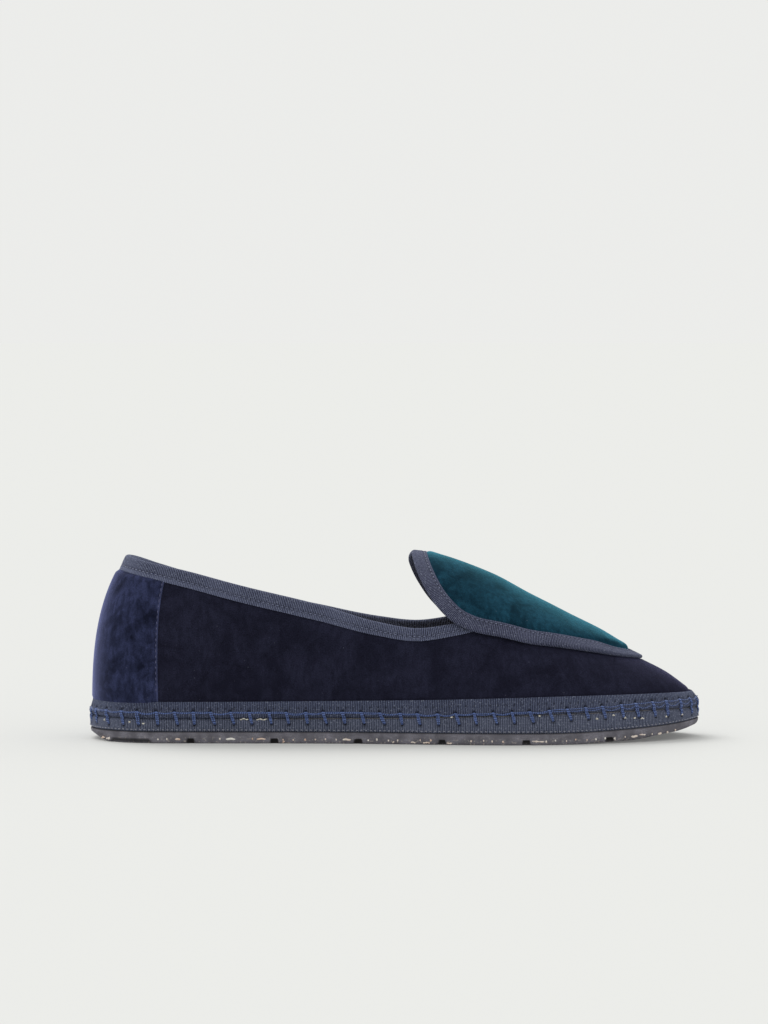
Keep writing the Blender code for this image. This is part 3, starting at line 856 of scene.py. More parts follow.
@dataclass
class Finishes:
    """All the finishes of the shoe, each made once: its name, its darker and its lighter tone."""

    navy: Material = made(
        Velvet, "navy_velvet", (0.0142, 0.0145, 0.03), (0.0258, 0.0268, 0.0535), 0.55, (0.16, 0.16, 0.34)
    )
    heel: Material = made(
        Velvet, "navy_velvet_brushed", (0.0105, 0.013, 0.032), (0.052, 0.063, 0.15), 0.9, (0.26, 0.29, 0.58)
    )
    teal: Material = made(
        Velvet, "teal_velvet", (0.004, 0.024, 0.044), (0.015, 0.074, 0.123), 0.85, (0.11, 0.48, 0.62)
    )
    tape: Material = made(Grosgrain, "midsole_grosgrain", (0.02, 0.024, 0.041), (0.205, 0.228, 0.33))
    band: Material = made(Grosgrain, "band_grosgrain", (0.011, 0.0135, 0.028), (0.145, 0.168, 0.27))
    collar: Material = made(Grosgrain, "collar_grosgrain", (0.012, 0.014, 0.029), (0.2, 0.222, 0.345))
    binding: Material = made(Grosgrain, "vamp_grosgrain", (0.009, 0.0105, 0.023), (0.158, 0.17, 0.272))
    lining: Material = made(Cotton, "cotton_lining", (0.30, 0.25, 0.19), (0.60, 0.54, 0.44))
    insole: Material = made(Cotton, "insole_cotton", (0.26, 0.22, 0.17), (0.55, 0.49, 0.39), 0.9 * MM)
    rubber: Material = made(TyreRubber, "corded_rubber", (0.120, 0.116, 0.136), (0.252, 0.244, 0.286))
    thread: Material = made(Yarn, "blue_thread", (0.013, 0.025, 0.088), (0.14, 0.215, 0.5))
    machine: Material = made(Yarn, "tape_thread", (0.07, 0.08, 0.145), (0.26, 0.285, 0.43))
    navy_thread: Material = made(Yarn, "navy_thread", (0.026, 0.028, 0.07), (0.12, 0.125, 0.26))
    pale: Material = made(Yarn, "pale_thread", (0.16, 0.165, 0.22), (0.48, 0.49, 0.56))
    fluff: Material = made(Plain, "pale_fibre", (0.62, 0.58, 0.50), (0.80, 0.78, 0.72), 0.7 * MM)
    cord: Material = made(Plain, "cord_fibre", (0.86, 0.83, 0.78), (0.70, 0.48, 0.36), 14 * MM)
    core: Material = made(Plain, "pressed_textile", (0.16, 0.14, 0.11), (0.30, 0.26, 0.21), 1.2 * MM)


@dataclass
class Rim:
    """The outline of the sole as a measured line: toe first, then the medial side, heel and lateral side."""

    theta: Array = field(default_factory=lambda: np.linspace(-math.pi, math.pi, 6001))
    out: float = 1.8 * MM
    run: Array = field(init=False)

    def __post_init__(self) -> None:
        """Measures the outline at the outside of the tapes."""
        self.run = arc_length(LAST.plan(self.theta, self.out))

    def length(self) -> float:
        """The whole way round."""
        return float(self.run[-1])

    def theta_at(self, run: Array) -> Array:
        """Theta at distances along the outline."""
        return np.interp(np.mod(run, self.length()), self.run, self.theta)

    def run_at(self, station: Array) -> Array:
        """Distances along the outline of stations on the lateral side."""
        return np.interp(LAST.theta(station), self.theta, self.run)

    def point(self, run: Array, height: Array, out: Array) -> Array:
        """A point beside the shoe's lower edge.

        Above the sole line it lies on the last, held off by out. Below, it lies straight under the
        sole line, grown outwards by out.

        Args:
            run: Distances along the outline.
            height: Heights above the seam between the tapes.
            out: Distances outwards.

        Returns:
            Points, (..., 3).
        """
        run, height, out = np.broadcast_arrays(run, height, out)
        theta = self.theta_at(run)
        level = LAST.seam(theta) + height
        points = LAST.held_off(theta, LAST.angle_at(theta, level), out)
        below = np.minimum(level - LAST.sole_line(theta), 0)
        return points + below[..., None] * np.array([0, 0, 1.0])

    def on_tapes(self, run: Array, height: Array, out: Array) -> Lines:
        """Points beside the shoe's lower edge, and the directions outwards there."""
        points = self.point(run, height, out)
        return points, unit(self.point(run, height, out + 1 * MM) - points)

    def on_rubber(self, run: Array, level: Array, out: float) -> Lines:
        """Points beside the sole, and the directions outwards there.

        Args:
            run: Distances along the outline.
            level: Heights above the floor.
            out: Distance outwards from the upper's sole line.

        Returns:
            Points and directions, (..., 3).
        """
        plan, wider = (LAST.plan(self.theta_at(run), reach) for reach in (out, out + 1 * MM))
        return np.dstack([plan, level]), unit(np.dstack([wider - plan, 0 * level]))


def nearest(values: Array, marks: Array) -> Array:
    """Distance of each value to the nearest mark; marks are sorted."""
    i = np.clip(np.searchsorted(marks, values), 1, len(marks) - 1)
    return np.minimum(np.abs(values - marks[i - 1]), np.abs(values - marks[i]))


def bell(distance: Array, reach: float) -> Array:
    """1 at no distance, falling off as exp(-(distance / reach)^2)."""
    return np.exp(-((distance / reach) ** 2))


def blunt(t: Array) -> Array:
    """The thickness of a strand with blunt round ends at t = -1 and 1: the root of 1 - t^4."""
    return np.sqrt(np.maximum(1 - t**4, 0))


def table(rows: Rows, at: Array, column: int = 1) -> Array:
    """A column of a table in mm, by straight runs between its rows, whose first column is the place."""
    metres = np.array(rows) * MM
    return np.interp(at, metres[:, 0], metres[:, column])


@dataclass
class HandSeam:
    """The seam that joins the two tapes by hand: doubled blue thread, a stitch every 7.75 mm."""

    rim: Rim
    pitch: float = 7.75 * MM
    reach: Rows = (
        *((0, 3.8, -2.8), (60, 3.3, -2.1), (110, 2.9, -2.2), (145, 1.9, -3.1), (180, 1.9, -3.0)),
        *((205, 2.6, -2.4), (235, 3.5, -2.8), (254, 4.0, -2.9)),
    )
    band_out: Rows = (
        *((-5.2, 1.9), (-2.6, 2.32), (-0.6, 2.05), (0.25, 1.5), (0.9, 1.95), (1.6, 2.2)),
        *((3.2, 2.05), (5.2, 1.5), (6.9, 0.9), (8.0, 0.3)),
    )
    start: float = 0.35
    lean: float = 1.4 * MM
    stray: float = 0.6 * MM
    strand: float = 0.33 * MM
    run_strand: float = 0.19 * MM
    strand_gap: float = 0.74 * MM
    hole: float = 0.7 * MM
    run_drop: float = 0.45 * MM
    seed: int = 7
    upper: Array = field(init=False)
    lower: Array = field(init=False)

    def __post_init__(self) -> None:
        """Places the needle holes, with a hand's small errors."""
        count = round(self.rim.length() / self.pitch)
        rng = np.random.default_rng(self.seed)
        even = (np.arange(count) + self.start) * self.rim.length() / count
        self.upper = even - self.lean / 2 + rng.uniform(-1, 1, count) * self.stray
        self.lower = even + self.lean / 2 + rng.uniform(-1, 1, count) * self.stray

    def middles(self) -> Array:
        """The stitches' middles, as distances along the outline."""
        return (self.upper + self.lower) / 2

    def levels(self, run: Array) -> tuple[Array, Array]:
        """Heights above the seam of the stitches' upper and lower needle holes."""
        station = LAST.station(self.rim.theta_at(run))
        return table(self.reach, station), table(self.reach, station, 2)

    def outside(self, height: Array) -> Array:
        """How far out from the last the tapes' faces stand at heights above the seam."""
        return table(self.band_out, height)

    def pits(self, run: Array, height: Array) -> Array:
        """Needle holes, 1 at a hole's middle, falling off as a bell.

        Args:
            run: Distances along the outline.
            height: Heights above the seam.

        Returns:
            Depths from 0 to 1.
        """
        rows = zip((self.upper, self.lower), self.levels(run))
        away = (np.hypot(nearest(run, marks), height - level) for marks, level in rows)
        return bell(np.minimum(*away), self.hole)

    def lay(self, name: str, path: tuple[Array, Array], lift: Array, radius: float, look: Finishes) -> None:
        """Lays one strand of each stitch on the tapes.

        Args:
            name: The piece's name.
            path: Distances along the outline, and heights above the seam, (k, n).
            lift: How far the strand's middle stands off the tapes.
            radius: The strand's radius.
            look: The finishes.
        """
        run, height = path
        lines = self.rim.on_tapes(run, height, self.outside(height) + lift)
        size = radius * np.pad(np.ones(run.shape[1] - 2), 1)
        fit_on(lay_strands(name, lines, size, 7, 0.12), look.thread, Slot.TAPE)

    def build(self, look: Finishes) -> None:
        """Builds the upright stitches and the runs between them, two strands each.

        A strand rises from its hole as sin(pi t)^0.5, where t goes from 0 at one hole to 1 at the next.

        Args:
            look: The finishes.
        """
        rng = np.random.default_rng(self.seed + 1)
        count = len(self.upper)
        t = np.linspace(0, 1, 18)[None]
        bow = np.sin(math.pi * t)
        start, end = self.upper[:, None], self.lower[:, None]
        top, bottom = (level[:, None] for level in self.levels(self.middles()))
        run = start + (end - start) * t
        height = top + (bottom - top) * t
        lift = (-0.75 + 1.11 * bow**0.5) * MM
        for strand, side in enumerate((-0.5, 0.5)):
            spread = self.strand_gap * rng.uniform(0.7, 1.3, count)[:, None] * (0.45 + 0.55 * bow)
            self.lay(f"stitch_strand_{strand + 1}", (run + side * spread, height), lift, self.strand, look)
        following = np.append(self.upper[1:], self.upper[0] + self.rim.length())[:, None]
        run = start + (following - start) * t
        sag = rng.uniform(-0.2, 0.7, count)[:, None] * MM * bow
        height = top + (np.roll(top, -1, axis=0) - top) * t - self.run_drop - sag
        lift = (-0.8 + 1.0 * bow**0.5 + 0.1 * np.sin(5 * math.pi * t)) * MM
        loose = 0.35 + 0.75 * ease(LAST.station(self.rim.theta_at(run)), 170 * MM, 225 * MM)
        for strand in range(2):
            apart = strand * loose * MM * (0.7 + 0.9 * bow * rng.uniform(0.0, 1.0, count)[:, None])
            self.lay(f"run_strand_{strand + 1}", (run, height - apart), lift, self.run_strand, look)


@dataclass
class SoleTapes:
    """The tape round the midsole and the tape that binds the upper's lower edge, with their holes."""

    rim: Rim
    seam: HandSeam
    rows: int = 1120
    thick: float = 0.55 * MM
    spacing: float = 0.36 * MM
    height: float = 7.0 * MM
    toe_height: float = 5.95 * MM
    low_height: float = 5.0 * MM
    needle_pitch: float = 3.3 * MM
    needle_drop: float = 2.6 * MM
    needle: float = 0.42 * MM
    edge_pitch: float = 1.9 * MM
    edge_rise: float = 0.75 * MM
    low: Rows = ((-4.85, 0.9), (-4.65, 1.9), (-2.4, 2.05), (-0.55, 1.85), (-0.15, 0.7))
    high: Rows = ((0.35, -1.8), (0.4, 0.9), (0.75, 1.62), (1.7, 1.95), (3.2, 1.78), (5.2, 1.2), (6.95, 0.725))

    def runs(self) -> Array:
        """Distances round the outline, one for each row."""
        return np.arange(self.rows)[:, None] * self.rim.length() / self.rows

    def dent(self, run: Array, height: Array) -> tuple[Array, Array]:
        """How the stitches press the tapes in.

        Args:
            run: Distances round, (rows, 1).
            height: Heights above the seam, (rows, m).

        Returns:
            The depth in metres, and the share of painted shade in the needle holes.
        """
        pit = self.seam.pits(run, height)
        pull = bell(nearest(run, self.seam.middles()), 1.7 * MM) * bell(height, 2.2 * MM)
        wander = np.sin(run / (23 * MM)) * np.sin(run / (9.1 * MM) + 1.3)
        return (0.55 * pit + 0.28 * pull - 0.12 * wander) * MM, pit

    def sweep(self, name: str, strip: Lines, height: Array, needle: Array, face: Pair) -> Piece:
        """Carries a tape's section round the shoe.

        Args:
            name: The piece's name.
            strip: The section's outline, heights and distances out, and the distance across it.
            height: Heights of its points above the seam, (rows, m).
            needle: A second row of needle holes, 0 to 1, (rows, m).
            face: The distances out between which the holes and dents set in.

        Returns:
            The piece.
        """
        section, across = strip
        run = self.runs()
        depth, pit = self.dent(run, height)
        outer = ease(section[None, :, 1], *face)
        points = self.rim.point(run, height, section[None, :, 1] - outer * (depth + 0.22 * MM * needle))
        surface = grid_map(np.append(run, self.rim.length()), across)
        # The mark named pit is painted shade in the needle holes of the hand seam and of the needle row.
        marks = {"pit": np.clip(outer * np.maximum(1.15 * pit, 0.75 * needle), 0, 1)}
        return lay_mesh(name, points, grid_quads(height.shape, (True, True)), surface, marks)

    def build(self, look: Finishes) -> None:
        """Builds both tapes, the lower one stretched between rubber and seam, and its stitches.

        Args:
            look: The finishes.
        """
        run = self.runs()
        theta = self.rim.theta_at(run)
        lines = (divide(np.array(rows) * MM, self.spacing) for rows in (self.low, self.high))
        low, high = (thicken(line, self.thick) for line in lines)
        height = low[0][None, :, 0] * (LAST.seam(theta) - LAST.tread(theta) - LAST.rubber) / self.low_height
        tape = self.sweep("midsole_tape", low, height, 0 * height, (1.2 * MM, 1.8 * MM))
        fit_on(tape, look.tape, Slot.TAPE, "sole_tape")
        self.edge_stitches(look)
        toe = ease(LAST.station(theta), 180 * MM, 250 * MM)
        scale = 1 + (self.toe_height / self.height - 1) * toe
        height = high[0][None, :, 0] * np.where(high[0][None, :, 0] > 0, scale, 1)
        along = np.mod(run + self.needle_pitch / 2, self.needle_pitch) - self.needle_pitch / 2
        needle = bell(np.hypot(along, height - (self.height - self.needle_drop) * scale), self.needle)
        tape = self.sweep("upper_band_tape", high, height, needle, (0.6 * MM, 1.2 * MM))
        fit_on(tape, look.band, Slot.TAPE, "edge_tape")

    def edge_stitches(self, look: Finishes) -> None:
        """Lays a row of small pale stitches along the lower tape's lower edge.

        Args:
            look: The finishes.
        """
        t = np.linspace(-1, 1, 5)[None]
        run = (np.arange(int(self.rim.length() / self.edge_pitch))[:, None] + 0.5 + t / 4) * self.edge_pitch
        theta = self.rim.theta_at(run)
        height = LAST.tread(theta) + LAST.rubber - LAST.seam(theta) + self.edge_rise
        lines = self.rim.on_tapes(run, height, (2.28 - 0.3 * t**4) * MM)
        size = 0.2 * MM * np.pad(np.ones(3), 1)
        fit_on(lay_strands("edge_stitches", lines, size, 5), look.pale, Slot.TAPE)


@dataclass
class Quarters:
    """The navy velvet wall and its cotton lining."""

    columns: int = 230
    rows: int = 46
    pile_swell: float = 0.5 * MM
    velvet: float = 1.35 * MM
    lining: float = 1.4 * MM

    def edges(self, columns: int) -> tuple[Array, Array, NDArray[np.bool_]]:
        """The wall's columns.

        Args:
            columns: How many there are on a side.

        Returns:
            The angles round the shoe, the top edge's phi, and where the wall closes over the toes.
        """
        side = np.linspace(0, math.pi, columns + 1)
        theta = np.concatenate([side, -side[-2:0:-1]])
        station = LAST.station(theta)
        closed = LAST.column("ridge", station) - LAST.column("topline", station) < WELD / 10
        open_edge = LAST.angle_at(theta, LAST.topline(theta) - 2 * LAST.gap - LAST.tape)
        return theta, np.where(closed, math.pi / 2, open_edge), closed

    def swell(self, theta: Array, phi: Array, points: Array) -> Array:
        """The velvet's soft swell between the tapes that hold it down, and its slow unevenness.

        It is the product of 1 - exp(-distance / 3 mm) for the band below, the collar above and the
        vamp ahead, with a few slow sines added.

        Args:
            theta: Angles round the shoe.
            phi: Angles over the section.
            points: The surface there.

        Returns:
            Distances outwards.
        """
        station = LAST.station(theta)
        from_band = points[..., 2] - LAST.seam(theta) - 6.6 * MM
        from_collar = np.where(station < 150 * MM, LAST.topline(theta) - 7.0 * MM - points[..., 2], 1.0)
        half = VAMP.half_angle(np.clip(station, VAMP.rear + WELD, VAMP.tip - WELD))
        across = np.linalg.norm(LAST.tangents(theta, np.minimum(phi, 1.4))[1], axis=-1)
        beside = (math.pi / 2 - half - phi) * across
        ahead = np.hypot(station - VAMP.tip, (math.pi / 2 - phi) * across)
        from_vamp = np.where(station > VAMP.tip, ahead, np.where(station < VAMP.rear, 1.0, beside))
        hold = np.ones_like(station)
        for distance in (from_band, from_collar, from_vamp):
            hold = hold * (1 - np.exp(-np.maximum(distance, 0) / (3 * MM)))
        x, z = points[..., 0] / MM, points[..., 2] / MM
        uneven = np.sin(x / 11 + z / 23 + 0.7) * np.sin(z / 13 - x / 31) + 0.6 * np.sin(x / 6.3 - z / 9 + 2.0)
        return hold * (self.pile_swell + 0.10 * MM * uneven)

    def shell(self, name: str, outer: float, inner: float, soft: bool) -> Piece:
        """A closed wall between two distances from the last.

        Args:
            name: The piece's name.
            outer: The outer face's distance.
            inner: The inner face's distance.
            soft: Whether the outer face swells, and needs twice as many rows and columns.

        Returns:
            The piece.
        """
        coarse = 1 if soft else 2
        theta, edge, closed = self.edges(self.columns // coarse)
        phi = edge[:, None] * np.linspace(0, 1, self.rows // coarse + 1)
        around = np.broadcast_to(theta[:, None], phi.shape)
        face = LAST.surface(around, phi)
        lift = outer + (self.swell(around, phi, face) if soft else 0.0)
        grids = np.stack([LAST.held_off(around, phi, lift), LAST.held_off(around, phi, inner)])
        mirrored = grids[:, -np.arange(len(theta)), -1]
        grids[:, :, -1] = np.where(closed[:, None], (grids[:, :, -1] + mirrored) / 2, grids[:, :, -1])
        rows, columns = phi.shape
        run = arc_length(np.concatenate([face[:, 0], face[:1, 0]]))
        body = grid_quads((rows, columns), (True, False))
        number = np.arange(rows)
        following = (number + 1) % rows
        strips, maps = [], []
        for column, keep in ((0, number >= 0), (columns - 1, ~(closed & closed[following]))):
            a, b = (end[keep] * columns + column for end in (number, following))
            strips.append(np.stack([a, b, b + phi.size, a + phi.size], axis=-1))
            u = run[number[keep, None] + np.array([0, 1, 1, 0])]
            maps.append(np.stack([u, np.broadcast_to([0, 0, 1 * MM, 1 * MM], u.shape)], axis=-1))
        wall = grid_map(run, np.linspace(0, 60 * MM, columns))
        quads = np.concatenate([body, body + phi.size, *strips])
        return lay_mesh(name, grids, quads, np.concatenate([wall, wall, *maps]))

    def build(self, look: Finishes) -> None:
        """Builds the velvet and, just inside it, the lining."""
        fit_on(self.shell("velvet_quarters", 0.0, -self.velvet, True), look.navy, Slot.NAVY, "upper")
        fit_on(self.shell("cotton_lining", -self.lining, -LAST.wall, False), look.lining, Slot.LINING)


@dataclass
class StitchRow:
    """A row of small machine stitches that lie in the surface: short tubes whose ends dive into the cloth."""

    name: str
    material: Material
    pitch: float = 2.0 * MM
    radius: float = 0.17 * MM
    share: float = 0.78
    dive: float = 0.3 * MM
    part: Array = field(default_factory=lambda: np.linspace(-1, 1, 7))

    def places(self, run: Array, keep: Array | None = None) -> Array:
        """Where the points of the stitches lie along a path.

        Args:
            run: Distances along the path.
            keep: 1 where the path may carry stitches, or None where it always may.

        Returns:
            Distances along it, (stitches, 7).
        """
        middle = (np.arange(int(run[-1] / self.pitch)) + 0.5) * self.pitch
        if keep is not None:
            middle = middle[np.interp(middle, run, keep) > 0.99]
        return middle[:, None] + self.part * self.pitch * self.share / 2

    def lay(self, lines: Lines) -> None:
        """Lays the tubes along their paths."""
        size = self.radius * np.pad(np.ones(len(self.part) - 2), 1)
        fit_on(lay_strands(self.name, lines, size, 6), self.material, Slot.TAPE)

    def build(self, theta: Array, phi: Array, lift: Array | float) -> None:
        """Lays the stitches along a path on the last.

        Args:
            theta: The path's theta.
            phi: The path's phi.
            lift: The path's distance off the last.
        """
        path = np.broadcast_arrays(theta, phi, lift)
        run = arc_length(LAST.held_off(*path))
        at = self.places(run)
        theta, phi, lift = (np.interp(at, run, values) for values in path)
        self.lay((LAST.held_off(theta, phi, lift - self.dive * self.part**4), LAST.normal(theta, phi)))

    def build_over(self, base: Array, top: Array, keep: Array) -> None:
        """Lays the stitches along a path given in space.

        Args:
            base: The path, (n, 3), one point after the other.
            top: The same path further from the shoe.
            keep: 1 where the path may carry stitches, 0 elsewhere.
        """
        run = arc_length(base)
        at = self.places(run, keep)
        parts = (base, unit(top - base))
        path, up = (np.stack([np.interp(at, run, part[:, k]) for k in range(3)], axis=-1) for part in parts)
        self.lay((path - unit(up) * (self.dive * self.part**4)[:, None], unit(up)))


@dataclass
class HeelPanel:
    """The lighter velvet panel over the back, its front edge turned and sewn."""

    low: float = 29.5 * MM
    high: float = 24.6 * MM
    thick: float = 1.15 * MM
    edge: float = 0.15 * MM
    turn: float = 1.0 * MM
    rows: int = 90
    columns: int = 150
    sewn: float = 0.75 * MM
    pitch: float = 2.3 * MM

    def front(self, share: Array) -> Array:
        """Theta of the front edge at a share of its way up."""
        return LAST.theta(self.low + (self.high - self.low) * share**1.3)

    def phi(self, theta: Array, share: Array) -> Array:
        """Phi at a share of the way from under the band tape to under the collar tape.

        Args:
            theta: Angles round the shoe.
            share: The share of the way, 0 to 1.

        Returns:
            Angles over the section.
        """
        ends = (LAST.seam(theta) + 5.2 * MM, LAST.topline(theta) - 3.5 * MM)
        low, high = (LAST.angle_at(theta, end) for end in ends)
        return low + (high - low) * share

    def build(self, look: Finishes) -> None:
        """Builds the panel: its lift falls to the wall at its front edges along a quarter circle.

        Args:
            look: The finishes.
        """
        share = np.linspace(0, 1, self.rows)[:, None]
        theta = self.front(share) * np.sin(np.linspace(-1, 1, self.columns) * math.pi / 2)[None]
        phi = self.phi(theta, share)
        points = LAST.surface(theta, phi)
        away = np.minimum(*(np.linalg.norm(points - points[:, [end]], axis=-1) for end in (0, -1)))
        fall = np.clip(1 - away / self.turn, 0, 1)
        full = self.thick + 0.35 * MM * ease(away, 0, 6 * MM)
        above = points[..., 2] - LAST.seam(theta) - 6.0 * MM
        below = LAST.topline(theta) - 6.4 * MM - points[..., 2]
        held = ease(above, -0.8 * MM, 2 * MM) * ease(below, -0.8 * MM, 1.6 * MM)
        lift = (self.edge + (full - self.edge) * np.sqrt(1 - fall**2)) * (0.35 + 0.65 * held)
        faces = (LAST.held_off(theta, phi, lift), LAST.held_off(theta, phi, -0.3 * MM))
        run = (arc_length(points[:, self.columns // 2]), arc_length(points[self.rows // 2]))
        # Painted highlight along the front edges, where the turned nap catches the light, and down the back.
        painted_highlight = 0.4 * bell(away - 0.3 * MM, 0.28 * MM) + 0.7 * bell(points[..., 0], 6 * MM)
        piece = lay_plate("velvet_heel_panel", faces, run, np.stack([painted_highlight, 0 * painted_highlight]))
        fit_on(piece, look.heel, Slot.HEEL, "heel_panel")
        share = np.linspace(0.06, 0.96, 400)
        for side, name in ((1, "lateral"), (-1, "medial")):
            theta = side * LAST.theta(LAST.station(self.front(share)) - self.sewn)
            row = StitchRow(f"panel_stitches_{name}", look.navy_thread, self.pitch)
            row.build(theta, self.phi(theta, share), self.thick - 0.02 * MM)


@dataclass(frozen=True)
class FoldedTape:
    """A tape folded over an edge and sewn down: a leg outside, a half circle, a leg inside."""

    width: float
    inner_width: float
    top: float
    bottom: float
    spacing: float
    seam: float
    dark: Pair
    thick: float = 0.5 * MM
    stitch: float = 2.0 * MM
    hole: float = 0.34 * MM
    groove: float = 0.42 * MM
    depth: float = 0.2 * MM

    def section(self) -> Lines:
        """The tape's section.

        Returns:
            Distances in from the edge and off the last, (n, 2), and the distance across, (n + 1).
        """
        radius, middle = (self.top - self.bottom) / 2, (self.top + self.bottom) / 2
        start = radius + self.thick / 2
        turn = np.linspace(math.pi / 2, 3 * math.pi / 2, 12)
        bend = np.stack([start + radius * np.cos(turn), middle + radius * np.sin(turn)], axis=-1)
        ends = (self.width, self.inner_width)
        out, back = (np.arange(start + self.spacing, end, self.spacing) for end in ends)
        legs = ((out[::-1], self.top), (back, self.bottom))
        outside, inside = (np.stack([leg, np.full(len(leg), lift)], axis=-1) for leg, lift in legs)
        return thicken(np.concatenate([outside, bend, inside]), self.thick, 2)

    def sewing(self, run: Array, section: Array, narrow: Array | float) -> tuple[Array, Array, Array]:
        """The groove that the stitches press into the tape, their holes, and the free hem beside them.

        Args:
            run: Distances along the tape, (rows,).
            section: The section's points, (m, 2).
            narrow: The width there as a share of the full width.

        Returns:
            The groove's depth, the painted shade in groove and holes, and where the hem is.
        """
        outside = section[None, :, 1] > (self.top + self.bottom) / 2
        inwards = section[None, :, 0]
        groove = bell((inwards - self.seam) * narrow, self.groove) * outside
        needle = bell((np.mod(run, self.stitch) - self.stitch / 2)[:, None], self.hole)
        hem = ease(inwards, self.seam, self.seam + 0.4 * MM) * outside
        # The second value is painted shade along the groove, deeper at the needle holes.
        return self.depth * groove, (self.dark[0] + self.dark[1] * needle) * groove, hem


@dataclass
class CollarTape:
    """The tape folded over the collar, whose ends run in under the vamp."""

    tape: FoldedTape = FoldedTape(
        width=7.0 * MM,
        inner_width=6.2 * MM,
        top=0.36 * MM,
        bottom=-2.3 * MM,
        spacing=0.52 * MM,
        seam=4.8 * MM,
        dark=(0.36, 0.44),
    )
    end: float = 162 * MM
    throat_share: float = 5.8 / 7.0
    rows: int = 760
    heel_lean: float = 0.9 * MM
    stitch_lift: float = 0.52 * MM

    def lean(self, theta: Array, inset: Array) -> Array:
        """How far the tape stands out at the heel, most at its edge."""
        return self.heel_lean * ease(LAST.station(theta), 16 * MM, 4 * MM) * (1 + inset / self.tape.width)

    def build(self, look: Finishes) -> None:
        """Builds the tape, from the medial end round the heel to the lateral one, and its stitches.

        Args:
            look: The finishes.
        """
        end = float(LAST.theta(self.end))
        theta = np.linspace(-end, end, self.rows)
        station = LAST.station(theta)
        phi = LAST.angle_at(theta, LAST.topline(theta))
        ahead = (np.gradient(theta), np.gradient(phi))
        run = arc_length(LAST.surface(theta, np.maximum(phi, STEP)))
        ripple = 0.07 * MM * np.sin(run / (4.1 * MM)) * np.sin(run / (13 * MM) + 0.4)
        narrow = 1 + (self.throat_share - 1) * ease(station, 85 * MM, 125 * MM)
        section, across = self.tape.section()
        width = -section[None, :, 0] * narrow[:, None]
        at = LAST.sidestep(theta[:, None], phi[:, None], (ahead[0][:, None], ahead[1][:, None]), width)
        groove, pit, hem = self.tape.sewing(run, section, narrow[:, None])
        hem = hem * (0.6 - 0.4 * ease(station, 30 * MM, 75 * MM))[:, None]
        lean = self.lean(theta[:, None], width) * ease(section[None, :, 1], self.tape.bottom, -LAST.wall / 2)
        points = LAST.held_off(*at, section[None, :, 1] + ripple[:, None] + lean - groove)
        quads = grid_quads(width.shape, (False, True))
        piece = lay_mesh("collar_tape", points, quads, grid_map(run, across), {"pit": pit, "hem": hem})
        cap_ends(piece)
        fit_on(piece, look.collar, Slot.TAPE, "collar_binding")
        inset = -self.tape.seam * narrow
        line = LAST.sidestep(theta, phi, ahead, inset)
        off = self.stitch_lift + ripple + self.lean(theta, inset)
        StitchRow("collar_stitches", look.machine).build(*line, off)


def cap_ends(piece: Piece) -> None:
    """Closes the open ends of a swept piece with triangles, turned outwards.

    Args:
        piece: The piece.
    """
    work = bmesh.new()
    work.from_mesh(piece.data)
    bmesh.ops.holes_fill(work, edges=[edge for edge in work.edges if edge.is_boundary], sides=0)
    bmesh.ops.triangulate(work, faces=[face for face in work.faces if len(face.verts) > 4])
    bmesh.ops.recalc_face_normals(work, faces=work.faces)
    work.to_mesh(piece.data)
    work.free()


